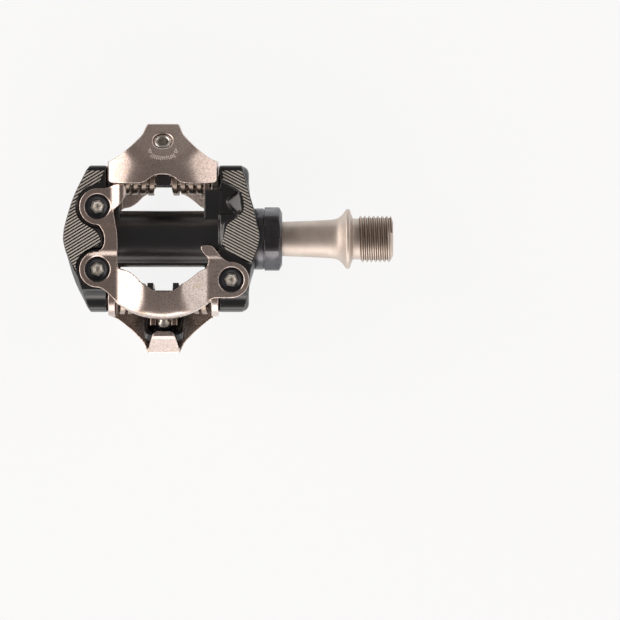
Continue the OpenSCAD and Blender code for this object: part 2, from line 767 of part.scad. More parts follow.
module tension_bolt() {
  color(steel) bolt_frame() difference() {
    union() {
      translate([0, 0, -0.95]) cylinder(d = bolt_head_d, h = 0.8);
      translate([0, 0, -bolt_reach]) cylinder(d = bolt_d, h = bolt_reach - 0.5);
    }
    translate([0, 0, -2.4]) cylinder(d = 3 / cos(30), h = 4, $fn = 6);
  }
}

// Black bracket on the bolt that the springs' long legs push against
module tension_bracket() {
  cheek_x = bracket_gap / 2;
  color(black) bolt_frame() difference() {
    union() {
      translate([-cheek_x - cheek_t, -2.6, -bracket_depth - bracket_t])
        cube([2 * (cheek_x + cheek_t), 5.2, bracket_t]);
      for (side = [-1, 1]) translate([side * (cheek_x + cheek_t / 2) - cheek_t / 2, -2.6,
                                      -bracket_depth - bracket_t - 3.2])
        cube([cheek_t, 5.2, 3.3]);
    }
    translate([0, 0, -far]) cylinder(d = bolt_d + 2 * run_gap, h = 2 * far);
  }
}

spindle();
bearing_cone();
lock_washer();
cone_locknut();
inner_balls();
outer_balls();
bearing_sleeve();
plain_bush();
lock_collar();
axle_seal();
body_casting();
on_top() front_claw();  // top_front_claw
on_top() claw_screws();  // top_claw_screws
on_top() pivot_pin();  // top_pivot_pin
on_top() spring_spacer();  // top_spring_spacer
on_top() outboard_spring();  // top_outboard_spring
on_top() inboard_spring();  // top_inboard_spring
on_top() rear_claw();  // top_rear_claw
on_top() tension_bolt();  // top_tension_bolt
on_top() tension_bracket();  // top_tension_bracket
underneath() front_claw();  // bottom_front_claw
underneath() claw_screws();  // bottom_claw_screws
underneath() pivot_pin();  // bottom_pivot_pin
underneath() spring_spacer();  // bottom_spring_spacer
underneath() outboard_spring();  // bottom_outboard_spring
underneath() inboard_spring();  // bottom_inboard_spring
underneath() rear_claw();  // bottom_rear_claw
underneath() tension_bolt();  // bottom_tension_bolt
underneath() tension_bracket();  // bottom_tension_bracket
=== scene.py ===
"""Looks of the double-sided clipless pedal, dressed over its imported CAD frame.

Pieces are modelled on a bench in millimetres about the pedal's middle, with +X along the spindle
towards the crank and +Z out of the top binding. ``Side.seat`` then brings a piece to the row's
frame in metres: the top binding's as it is, the underside's turned half way round the spindle.
"""

import logging
import math
from contextlib import contextmanager
from dataclasses import dataclass, field
from enum import Enum
from typing import Callable, Iterator, Optional, Sequence

import bpy
from mathutils import Matrix, Vector
from mathutils.bvhtree import BVHTree


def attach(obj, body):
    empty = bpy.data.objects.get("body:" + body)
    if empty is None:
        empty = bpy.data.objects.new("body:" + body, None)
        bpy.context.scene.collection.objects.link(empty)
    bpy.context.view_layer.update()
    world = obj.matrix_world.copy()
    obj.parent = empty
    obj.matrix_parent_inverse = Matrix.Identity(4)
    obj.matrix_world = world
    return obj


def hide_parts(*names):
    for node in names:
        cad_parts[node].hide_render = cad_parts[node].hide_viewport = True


Plan = list[tuple[float, float]]
Piece = bpy.types.Object

log = logging.getLogger("pedal")
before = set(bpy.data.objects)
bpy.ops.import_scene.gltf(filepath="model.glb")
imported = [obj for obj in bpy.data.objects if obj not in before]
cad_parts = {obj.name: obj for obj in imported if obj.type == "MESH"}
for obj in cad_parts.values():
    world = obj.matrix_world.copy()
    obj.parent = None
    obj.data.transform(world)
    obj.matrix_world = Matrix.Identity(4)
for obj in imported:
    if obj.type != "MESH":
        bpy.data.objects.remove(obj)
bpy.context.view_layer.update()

MM = 0.001
PEDAL_MIDDLE = -55.0

# Bench sizes that several assemblies share: the pivot pins' place, the claws' seats, the decks,
# the middles of the three screws and the pins' radius.
PIVOT_Y = 16.8
SEAT_Z = 8.4
DECK_Z = 9.6
LOBES = ((-18.95, 9.3), (-18.95, -8.9), (19.85, -11.95))
PIN_RADIUS = 1.9


class Side(Enum):
    """The pedal's two bindings, each named as its CAD nodes are."""

    TOP = "top"
    BOTTOM = "bottom"

    @property
    def seat(self) -> Matrix:
        """The move from the bench to the row's frame."""
        turn = Matrix.Rotation(math.pi if self is Side.BOTTOM else 0.0, 4, "X")
        return Matrix.Scale(MM, 4) @ Matrix.Translation((PEDAL_MIDDLE, 0, 0)) @ turn

    def body(self, name: str) -> str:
        """The full name of one of this binding's CAD bodies or nodes."""
        return f"{self.value}_{name}"


# ---- outlines --------------------------------------------------------------------------------


def arc(centre: tuple[float, float], radius: float, start: float, end: float, steps: int = 12) -> Plan:
    """Points of a round stretch of an outline.

    Args:
        centre: Middle of the circle.
        radius: Its radius.
        start: First angle in degrees, from +X towards +Y.
        end: Last angle in degrees.
        steps: Number of chords.

    Returns:
        The points from start to end, both included.
    """
    angles = [math.radians(start + (end - start) * i / steps) for i in range(steps + 1)]
    return [(centre[0] + radius * math.cos(a), centre[1] + radius * math.sin(a)) for a in angles]


def eased(points: Plan, rounds: int = 2) -> Plan:
    """Softens the corners of an open run of points, and keeps its two ends.

    Args:
        points: The run.
        rounds: How often each corner is cut.

    Returns:
        The softened run.
    """
    for _ in range(rounds):
        cut = [points[0]]
        for (ax, ay), (bx, by) in zip(points, points[1:]):
            cut += [(0.75 * ax + 0.25 * bx, 0.75 * ay + 0.25 * by),
                    (0.25 * ax + 0.75 * bx, 0.25 * ay + 0.75 * by)]
        points = cut + [points[-1]]
    return points


def mirrored(points: Plan) -> Plan:
    """The same outline on the other side of the pedal's middle."""
    return [(-x, y) for x, y in reversed(points)]


def smooth_step(low: float, high: float, value: float) -> float:
    """Rises from 0 at low to 1 at high, with soft ends."""
    t = min(1.0, max(0.0, (value - low) / (high - low)))
    return t * t * (3 - 2 * t)


def soft_min(first: float, second: float, blend: float) -> float:
    """The lesser of two heights, with the corner between them rolled over a band as deep as blend."""
    h = max(blend - abs(first - second), 0.0) / blend
    return min(first, second) - h * h * blend / 4


def soft_max(first: float, second: float, blend: float) -> float:
    """The greater of two heights, with the corner between them rolled."""
    return -soft_min(-first, -second, blend)


@dataclass(frozen=True)
class Slope:
    """A sloping plane of pressed plate.

    Attributes:
        point: A point on it.
        pitch: Its fall towards +Y in degrees.
        roll: Its fall towards +X in degrees.
    """

    point: tuple[float, float, float]
    pitch: float = 0.0
    roll: float = 0.0

    @property
    def normal(self) -> Vector:
        """The plane's upward normal."""
        pitch, roll = math.radians(self.pitch), math.radians(self.roll)
        return Vector((math.cos(pitch) * math.sin(roll), math.sin(pitch), math.cos(pitch) * math.cos(roll)))

    def height(self, x: float, y: float, depth: float = 0.0) -> float:
        """The height over a place in plan of the plane that lies this deep under it."""
        n = self.normal
        return self.point[2] - (depth + n.x * (x - self.point[0]) + n.y * (y - self.point[1])) / n.z


# ---- the bench: modelling moves --------------------------------------------------------------


class Bench:
    """Modelling moves made with Blender's operators on pieces in millimetres."""

    @staticmethod
    def take(*pieces: Piece) -> None:
        """Selects these pieces and nothing else, the first one active."""
        if bpy.context.object and bpy.context.object.mode != "OBJECT":
            bpy.ops.object.mode_set(mode="OBJECT")
        bpy.ops.object.select_all(action="DESELECT")
        for piece in pieces:
            piece.select_set(True)
        bpy.context.view_layer.objects.active = pieces[0]

    @staticmethod
    def named(name: str) -> Piece:
        """Names the primitive that was just added, and sets its place in its mesh."""
        piece = bpy.context.object
        piece.name = piece.data.name = name
        bpy.ops.object.transform_apply(location=True, rotation=True, scale=True)
        return piece

    @staticmethod
    @contextmanager
    def editing(
        piece: Piece,
        faces: Optional[Callable[[bpy.types.MeshPolygon], bool]] = None,
        edges: Optional[Callable[[Vector, Vector], bool]] = None,
    ) -> Iterator[None]:
        """Edit mode with some of a piece selected: all of it unless faces or edges says which.

        Args:
            piece: What is edited.
            faces: Says whether a face is selected.
            edges: Says whether an edge is selected, from its two ends.
        """
        Bench.take(piece)
        mesh = piece.data
        every = faces is None and edges is None
        for group in (mesh.vertices, mesh.edges, mesh.polygons):
            group.foreach_set("select", [every] * len(group))
        if faces:
            mesh.polygons.foreach_set("select", [faces(p) for p in mesh.polygons])
        if edges:
            for edge in mesh.edges:
                a, b = (mesh.vertices[i] for i in edge.vertices)
                if edges(a.co, b.co):
                    edge.select = a.select = b.select = True
        bpy.context.tool_settings.mesh_select_mode = (False, bool(edges), not edges)
        bpy.ops.object.mode_set(mode="EDIT")
        yield
        bpy.ops.object.mode_set(mode="OBJECT")

    @staticmethod
    def loop(name: str, points: Plan, filled: bool = True) -> Piece:
        """A flat outline in plan, laid from a circle whose vertices are moved to the points."""
        bpy.ops.object.select_all(action="DESELECT")
        fill = "NGON" if filled else "NOTHING"
        bpy.ops.mesh.primitive_circle_add(vertices=len(points), radius=1, fill_type=fill)
        piece = Bench.named(name)
        for vertex, (x, y) in zip(piece.data.vertices, points):
            vertex.co = (x, y, 0)
        return piece

    @staticmethod
    def prism(name: str, points: Plan, low: float, high: float) -> Piece:
        """An outline drawn up from one height to another."""
        piece = Bench.loop(name, points)
        with Bench.editing(piece):
            bpy.ops.transform.translate(value=(0, 0, low))
            bpy.ops.mesh.extrude_region_move(TRANSFORM_OT_translate={"value": (0, 0, high - low)})
        return Bench.outward(piece)

    @staticmethod
    def side_prism(name: str, points: Plan, low: float, high: float) -> Piece:
        """A side view of (y, z) points drawn along X from one place to another."""
        piece = Bench.prism(name, points, low, high)
        piece.data.transform(Matrix(((0, 0, 1, 0), (1, 0, 0, 0), (0, 1, 0, 0), (0, 0, 0, 1))))
        return piece

    @staticmethod
    def turned(name: str, profile: Plan, steps: int = 96) -> Piece:
        """A profile of (place along X, radius) points spun round the X axis.

        Args:
            name: The piece's name.
            profile: The points in order; two ends on the axis, or a closed ring clear of it.
            steps: Facets round the axis.

        Returns:
            The closed piece.
        """
        piece = Bench.loop(name, profile, filled=False)
        if min(r for _, r in profile) < 1e-6:
            with Bench.editing(piece, edges=lambda a, b: abs(a.y) + abs(b.y) < 1e-6):
                bpy.ops.mesh.delete(type="EDGE")
        with Bench.editing(piece):
            bpy.ops.mesh.spin(steps=steps, angle=2 * math.pi, center=(0, 0, 0), axis=(1, 0, 0))
            bpy.ops.mesh.select_all(action="SELECT")
            bpy.ops.mesh.remove_doubles(threshold=1e-4)
        return Bench.outward(piece)

    @staticmethod
    def bar(name: str, radius: float, start: float, end: float, y: float = 0.0) -> Piece:
        """A round bar along X."""
        piece = Bench.turned(name, [(start, 0), (start, radius), (end, radius), (end, 0)], 64)
        return Bench.shifted(piece, y=y)

    @staticmethod
    def block(name: str, low: Sequence[float], high: Sequence[float]) -> Piece:
        """A box between two corners."""
        middle = [(a + b) / 2 for a, b in zip(low, high)]
        size = [b - a for a, b in zip(low, high)]
        bpy.ops.object.select_all(action="DESELECT")
        bpy.ops.mesh.primitive_cube_add(size=1, location=middle, scale=size)
        return Bench.named(name)

    @staticmethod
    def grid(name: str, low: Sequence[float], high: Sequence[float], cell: float) -> Piece:
        """A flat sheet between two corners, divided into square cells."""
        span = [b - a for a, b in zip(low, high)]
        bpy.ops.object.select_all(action="DESELECT")
        columns, rows = round(span[0] / cell), round(span[1] / cell)
        bpy.ops.mesh.primitive_grid_add(x_subdivisions=columns, y_subdivisions=rows, size=1)
        piece = Bench.named(name)
        piece.data.transform(Matrix.Diagonal((*span, 1, 1)))
        return Bench.shifted(piece, low[0] + span[0] / 2, low[1] + span[1] / 2)

    @staticmethod
    def hexagon(name: str, across: float, low: float, high: float) -> Piece:
        """A hexagonal bar along Z, with a flat towards +Y."""
        bpy.ops.object.select_all(action="DESELECT")
        radius = across / 2 / math.cos(math.pi / 6)
        bpy.ops.mesh.primitive_cylinder_add(vertices=6, radius=radius, depth=high - low,
                                            location=(0, 0, (low + high) / 2), rotation=(0, 0, math.pi / 6))
        return Bench.named(name)

    @staticmethod
    def shifted(piece: Piece, x: float = 0.0, y: float = 0.0, z: float = 0.0) -> Piece:
        """Moves a piece's mesh."""
        piece.data.transform(Matrix.Translation((x, y, z)))
        return piece

    @staticmethod
    def spun(piece: Piece, degrees: float, axis: str) -> Piece:
        """Turns a piece's mesh round an axis."""
        piece.data.transform(Matrix.Rotation(math.radians(degrees), 4, axis))
        return piece

    @staticmethod
    def copied(piece: Piece) -> Piece:
        """Another piece like this one, with its own mesh."""
        copy = piece.copy()
        copy.data = piece.data.copy()
        bpy.context.scene.collection.objects.link(copy)
        return copy

    @staticmethod
    def outward(piece: Piece) -> Piece:
        """Turns every face to the outside."""
        with Bench.editing(piece):
            bpy.ops.mesh.normals_make_consistent(inside=False)
        return piece

    @staticmethod
    def modified(piece: Piece, kind: str, **settings: object) -> Piece:
        """Adds a modifier with these settings and applies it."""
        Bench.take(piece)
        modifier = piece.modifiers.new(kind.lower(), kind)
        for key, value in settings.items():
            setattr(modifier, key, value)
        bpy.ops.object.modifier_apply(modifier=modifier.name)
        return piece

    @staticmethod
    def cut(piece: Piece, *tools: Piece, operation: str = "DIFFERENCE") -> Piece:
        """Cuts a piece with tools, or trims or joins it to them, and clears the tools away."""
        for tool in tools:
            Bench.modified(piece, "BOOLEAN", operation=operation, object=tool, solver="EXACT")
            bpy.data.objects.remove(tool)
        if not piece.data.vertices:
            raise ValueError(f"nothing is left of {piece.name}")
        return piece

    @staticmethod
    def joined(name: str, *pieces: Piece) -> Piece:
        """Joins pieces into one object, without merging what overlaps."""
        Bench.take(*pieces)
        if len(pieces) > 1:
            bpy.ops.object.join()
        pieces[0].name = pieces[0].data.name = name
        return pieces[0]

    @staticmethod
    def pressed(piece: Piece, form: Callable[[Vector], Sequence[float]]) -> Piece:
        """Moves every vertex to the place that form gives it."""
        for vertex in piece.data.vertices:
            vertex.co = form(vertex.co)
        piece.data.update()
        return piece

    @staticmethod
    def softened(piece: Piece, voxel: float, rounds: int) -> Piece:
        """Fuses a piece's shells into one skin with worn edges.

        Args:
            piece: One or more closed shells.
            voxel: Size of the new skin's cells.
            rounds: How often the skin is smoothed.

        Returns:
            The same piece.
        """
        Bench.modified(piece, "REMESH", mode="VOXEL", voxel_size=voxel, use_smooth_shade=True)
        Bench.modified(piece, "SMOOTH", factor=0.5, iterations=rounds)
        return piece

    @staticmethod
    def bevelled(piece: Piece, width: float, segments: int = 3, angle: float = 35) -> Piece:
        """Rounds every edge that turns by more than angle degrees."""
        return Bench.modified(piece, "BEVEL", width=width, segments=segments, limit_method="ANGLE",
                              angle_limit=math.radians(angle), miter_outer="MITER_ARC")

    @staticmethod
    def shaded(piece: Piece, angle: float = 35) -> Piece:
        """Shades a piece smooth, apart from edges that turn by more than angle degrees."""
        Bench.take(piece)
        bpy.ops.object.shade_smooth_by_angle(angle=math.radians(angle))
        return piece


# ---- shader maths ----------------------------------------------------------------------------


class Value:
    """A number that varies over a surface, and takes part in Python arithmetic."""

    def __init__(self, graph: "Graph", socket: bpy.types.NodeSocket) -> None:
        """Wraps an output socket of a graph."""
        self.graph = graph
        self.socket = socket

    def maths(self, operation: str, *operands: object) -> "Value":
        """The result of one Math node on these operands."""
        node = self.graph.node("ShaderNodeMath", {"operation": operation}, dict(enumerate(operands)))
        return Value(self.graph, node.outputs[0])

    def __add__(self, other: object) -> "Value":
        """self + other."""
        return self.maths("ADD", self, other)

    def __rsub__(self, other: object) -> "Value":
        """other - self."""
        return self.maths("SUBTRACT", other, self)

    def __mul__(self, other: object) -> "Value":
        """self * other."""
        return self.maths("MULTIPLY", self, other)

    def __pow__(self, other: object) -> "Value":
        """self to the power of other."""
        return self.maths("POWER", self, other)

    __radd__ = __add__
    __rmul__ = __mul__

    def between(self, low: float, high: float) -> "Value":
        """Rises from 0 where self is low to 1 where it is high, with soft ends."""
        settings = {"interpolation_type": "SMOOTHSTEP"}
        node = self.graph.node("ShaderNodeMapRange", settings, {0: self, 1: low, 2: high})
        return Value(self.graph, node.outputs[0])


class Graph:
    """The node tree of one material, with places in millimetres."""

    def __init__(self, name: str) -> None:
        """Starts a material with an empty tree."""
        self.material = bpy.data.materials.new(name)
        self.material.use_nodes = True
        self.tree = self.material.node_tree
        self.tree.nodes.clear()
        place = self.node("ShaderNodeTexCoord").outputs["Object"]
        self.place = self.node("ShaderNodeVectorMath", {"operation": "SCALE"},
                               {0: place, "Scale": 1 / MM}).outputs[0]

    @classmethod
    def of_tree(cls, tree: bpy.types.NodeTree) -> "Graph":
        """Takes over another node tree, and empties it."""
        graph = cls.__new__(cls)
        graph.tree = tree
        tree.nodes.clear()
        return graph

    def node(self, kind: str, settings: Optional[dict[str, object]] = None,
             inputs: Optional[dict[object, object]] = None) -> bpy.types.Node:
        """Adds one node.

        Args:
            kind: The node's type.
            settings: Its own settings, set first.
            inputs: Values, sockets or Values for its input sockets, by name or number.

        Returns:
            The node.
        """
        node = self.tree.nodes.new(kind)
        for key, value in (settings or {}).items():
            setattr(node, key, value)
        for key, value in (inputs or {}).items():
            source = value.socket if isinstance(value, Value) else value
            if isinstance(source, bpy.types.NodeSocket):
                self.tree.links.new(source, node.inputs[key])
            else:
                node.inputs[key].default_value = source
        return node

    def noise(self, size: float, detail: float = 2.0, stretch: Sequence[float] = (1, 1, 1)) -> Value:
        """Noise of that feature size in millimetres, longer where stretch is greater."""
        scale = tuple(1 / (size * s) for s in stretch)
        at = self.node("ShaderNodeMapping", {}, {"Vector": self.place, "Scale": scale}).outputs[0]
        node = self.node("ShaderNodeTexNoise", {}, {"Vector": at, "Scale": 1.0, "Detail": detail})
        return Value(self, node.outputs[0])

    def axis(self, name: str) -> Value:
        """One coordinate of the place, in millimetres."""
        return Value(self, self.node("ShaderNodeSeparateXYZ", {}, {0: self.place}).outputs[name])

    def blend(self, factor: Value, first: object, second: object) -> bpy.types.NodeSocket:
        """A colour between two, by a factor."""
        colours = {key: (*c, 1) if isinstance(c, tuple) else c for key, c in ((6, first), (7, second))}
        node = self.node("ShaderNodeMix", {"data_type": "RGBA"}, {0: factor, **colours})
        return node.outputs[2]

    def bump(self, height: Value, distance: float) -> bpy.types.NodeSocket:
        """A normal for a height of 0 to 1 that stands for this distance in millimetres."""
        inputs = {"Height": height, "Distance": distance * MM, "Strength": 1.0}
        return self.node("ShaderNodeBump", {}, inputs).outputs[0]

    def finish(self, **inputs: object) -> bpy.types.Material:
        """Ends the tree in a Principled shader with these inputs, underscores for spaces."""
        named = {key.replace("_", " "): value for key, value in inputs.items()}
        shader = self.node("ShaderNodeBsdfPrincipled", {}, named)
        self.node("ShaderNodeOutputMaterial", {}, {0: shader.outputs[0]})
        return self.material


# ---- finishes --------------------------------------------------------------------------------


@dataclass(frozen=True)
class PlatedSteel:
    """Pressed steel with bronze-tinted nickel plating: fine grain, faint straw stains, and painted light that
    makes the inboard side paler than the outboard side.
    """

    name: str = "claw_plating"
    # outboard and inboard are the two ends of a painted-light gradient across the pedal: the inboard side is
    # painted paler, as if more light fell on it.
    outboard: tuple = (0.70, 0.59, 0.54)
    inboard: tuple = (0.93, 0.82, 0.765)
    dull: tuple = (0.40, 0.32, 0.285)
    straw: tuple = (0.62, 0.51, 0.30)
    roughness: float = 0.29
    grain: float = 0.42

    def material(self) -> bpy.types.Material:
        """Builds the material."""
        g = Graph(self.name)
        grain = g.noise(self.grain, 3)
        cloud = g.noise(5.0, 3)
        # Painted light: the base colour runs from the outboard tone to the paler inboard tone across the
        # pedal.
        along = g.axis("X").between(PEDAL_MIDDLE - 18, PEDAL_MIDDLE + 18)
        base = g.blend(along, self.outboard, self.inboard)
        base = g.blend(cloud.between(0.3, 0.7) * 0.22, base, self.dull)
        stain = g.noise(2.6, 2).between(0.60, 0.74) * 0.45
        base = g.blend(stain, base, self.straw)
        base = g.blend(grain.between(0.45, 0.66) * 0.6, base, self.dull)
        rough = grain * 0.14 + cloud * 0.08 + (self.roughness - 0.11)
        return g.finish(Base_Color=base, Metallic=1.0, Roughness=rough, Normal=g.bump(grain, 0.017))


@dataclass(frozen=True)
class TurnedSteel:
    """Turned steel with fine rings round the X axis under a warm plating; when root is set, painted shade
    darkens the thread's grooves.
    """

    name: str
    bright: tuple
    dull: tuple
    roughness: float = 0.3
    ring: float = 0.16
    ring_depth: float = 0.003
    root: float = 0.0

    def material(self) -> bpy.types.Material:
        """Builds the material."""
        g = Graph(self.name)
        rings = g.noise(self.ring, 2, (1, 400, 400))
        grain = g.noise(0.25, 2)
        base = g.blend(g.noise(4.0, 2).between(0.3, 0.7), self.dull, self.bright)
        base = g.blend(grain.between(0.35, 0.7) * 0.3, base, self.dull)
        # Painted shade: below the root radius the colour fades to dark brown, as if shade lay in the thread's
        # grooves.
        if self.root:
            radius = (g.axis("Y") * g.axis("Y") + g.axis("Z") * g.axis("Z")) ** 0.5
            base = g.blend(radius.between(self.root, self.root + 0.6), (0.24, 0.17, 0.13), base)
        rough = rings * 0.12 + grain * 0.10 + (self.roughness - 0.11)
        normal = g.bump(rings * 0.6 + grain * 0.8, self.ring_depth)
        return g.finish(Base_Color=base, Metallic=1.0, Roughness=rough, Normal=normal)


@dataclass(frozen=True)
class BlackPaint:
    """Satin black paint on cast alloy, with a faint orange peel."""

    name: str = "body_paint"
    colour: tuple = (0.004, 0.006, 0.008)
    dusty: tuple = (0.008, 0.010, 0.012)
    roughness: float = 0.32

    def material(self) -> bpy.types.Material:
        """Builds the material."""
        g = Graph(self.name)
        peel = g.noise(0.35, 2)
        cloud = g.noise(6.0, 3)
        base = g.blend(cloud.between(0.35, 0.75), self.colour, self.dusty)
        rough = peel * 0.10 + cloud * 0.06 + (self.roughness - 0.08)
        return g.finish(Base_Color=base, Roughness=rough, Specular_IOR_Level=1.0, Normal=g.bump(peel, 0.010))


@dataclass(frozen=True)
class BareAlloy:
    """Alloy ground bare on top of the grip ridges, brushed along the grinding."""

    name: str = "ridge_alloy"
    bright: tuple = (0.80, 0.765, 0.70)
    dull: tuple = (0.62, 0.59, 0.54)
    roughness: float = 0.45

    def material(self) -> bpy.types.Material:
        """Builds the material."""
        g = Graph(self.name)
        brush = g.noise(0.12, 2, (1, 12, 1))
        base = g.blend(brush.between(0.25, 0.75), self.dull, self.bright)
        rough = brush * 0.2 + (self.roughness - 0.1)
        return g.finish(Base_Color=base, Metallic=0.15, Roughness=rough, Normal=g.bump(brush, 0.006))


@dataclass(frozen=True)
class Smooth:
    """A plain moulded or rubbed finish with a fine skin and cloudy gloss."""

    name: str
    colour: tuple
    tint: tuple
    roughness: float
    metallic: float = 0.0
    skin: float = 0.3
    depth: float = 0.004

    def material(self) -> bpy.types.Material:
        """Builds the material."""
        g = Graph(self.name)
        skin = g.noise(self.skin, 2)
        cloud = g.noise(3.0, 2)
        base = g.blend(cloud.between(0.3, 0.7), self.colour, self.tint)
        rough = cloud * 0.10 + skin * 0.08 + (self.roughness - 0.09)
        return g.finish(Base_Color=base, Metallic=self.metallic, Roughness=rough,
                        Normal=g.bump(skin, self.depth))


class Finishes:
    """Every finish of the pedal, made once and kept with the record's slot that it stands for."""

    def __init__(self) -> None:
        """Builds the materials."""
        nickel = PlatedSteel()
        table = {
            "claw_plate": nickel,
            "spindle_steel": TurnedSteel("spindle_plating", (0.73, 0.655, 0.59), (0.65, 0.575, 0.515), 0.54),
            "spring_wire": TurnedSteel("spring_plating", (0.50, 0.41, 0.35), (0.34, 0.275, 0.23), 0.34, 0.5),
            "body_black": BlackPaint(),
            "black_resin": Smooth("collar_black", (0.11, 0.11, 0.118), (0.14, 0.14, 0.152), 0.26, 1.0),
            "black_screw": Smooth("screw_oxide", (0.010, 0.011, 0.014), (0.020, 0.021, 0.026), 0.36, 0.4),
            "black_steel": Smooth("bracket_black", (0.006, 0.006, 0.008), (0.012, 0.012, 0.014), 0.16),
            "pin_steel": TurnedSteel("pin_plating", (0.52, 0.45, 0.40), (0.40, 0.34, 0.30), 0.3),
            "bolt_steel": Smooth("bolt_zinc", (0.64, 0.62, 0.58), (0.76, 0.735, 0.69), 0.36, 1.0, 0.15),
            "bearing_steel": Smooth("bearing_polish", (0.56, 0.56, 0.57), (0.62, 0.62, 0.62), 0.16, 1.0),
            "sleeve_alloy": TurnedSteel("sleeve_turning", (0.70, 0.70, 0.70), (0.58, 0.58, 0.58), 0.35),
            "bush_resin": Smooth("bush_white", (0.70, 0.69, 0.64), (0.78, 0.77, 0.73), 0.5),
            "seal_rubber": Smooth("seal_black", (0.020, 0.020, 0.020), (0.035, 0.035, 0.035), 0.6),
        }
        self.by_slot = {slot: finish.material() for slot, finish in table.items()}
        # The thread's plating gets painted shade in its grooves, below a radius of 6.2.
        self.thread = TurnedSteel("thread_plating", (0.74, 0.65, 0.58), (0.62, 0.54, 0.47), 0.42,
                                  root=6.2).material()
        self.plating_inside = PlatedSteel("claw_plating_inside", roughness=0.66).material()
        self.bare_alloy = BareAlloy().material()
        # The stamped scale's pale diffuse colour is partly a painted highlight: it stands in for light caught
        # on the stamped slopes.
        self.stamp_and_highlight = Smooth("stamp_painted_highlight", (0.84, 0.78, 0.74), (0.93, 0.87, 0.83), 0.5).material()

    def dress(self, piece: Piece, slot: str) -> Piece:
        """Gives a piece the finish of a slot of the record."""
        piece.data.materials.clear()
        piece.data.materials.append(self.by_slot[slot])
        return piece

    def dress_cad(self, node: str, slot: str) -> None:
        """Gives a CAD node that stays in view the finish of its slot."""
        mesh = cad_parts[node].data
        if not mesh.materials:
            mesh.materials.append(None)
        for i in range(len(mesh.materials)):
            mesh.materials[i] = self.by_slot[slot]


@dataclass
class Assembly:
    """What every sub-assembly shares: its finishes, and how a piece leaves the bench."""

    finishes: Finishes

    def build(self) -> list[Piece]:
        """Makes this sub-assembly's pieces, installs them and returns them."""
        raise NotImplementedError

    def install(self, piece: Piece, side: Side, body: str, slot: str,
                stands_for: Sequence[str] = ()) -> Piece:
        """Dresses a bench piece, seats it in the row's frame and lets it ride on its body.

        Args:
            piece: The piece, in millimetres about the pedal's middle.
            side: The binding that it belongs to.
            body: The CAD body that carries it.
            slot: The record's slot of its finish.
            stands_for: CAD nodes that it replaces.

        Returns:
            The piece in place.
        """
        piece.data.transform(side.seat)
        piece.data.update()
        self.finishes.dress(piece, slot)
        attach(piece, body)
        if stands_for:
            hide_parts(*stands_for)
        log.info("%s: %d faces on %s", piece.name, len(piece.data.polygons), body)
        return piece

    def both_sides(self, piece: Piece, body: str, slot: str, node: str = "") -> list[Piece]:
        """Installs a piece in both bindings, each copy with its own mesh.

        Args:
            piece: The piece, in millimetres about the pedal's middle.
            body: Its body; "claw", "bolt" and "bracket" are the binding's own.
            slot: The record's slot of its finish.
            node: The end of the CAD nodes' name that it replaces.

        Returns:
            The two pieces, top first.
        """
        name, placed = piece.name, []
        for side, one in ((Side.TOP, piece), (Side.BOTTOM, Bench.copied(piece))):
            one.name = one.data.name = f"{side.value}_{name}"
            carrier = body if body == "pedal_body" else side.body(body)
            nodes = [side.body(node)] if node else []
            placed.append(self.install(one, side, carrier, slot, nodes))
        return placed


# ---- spindle and collar ----------------------------------------------------------------------


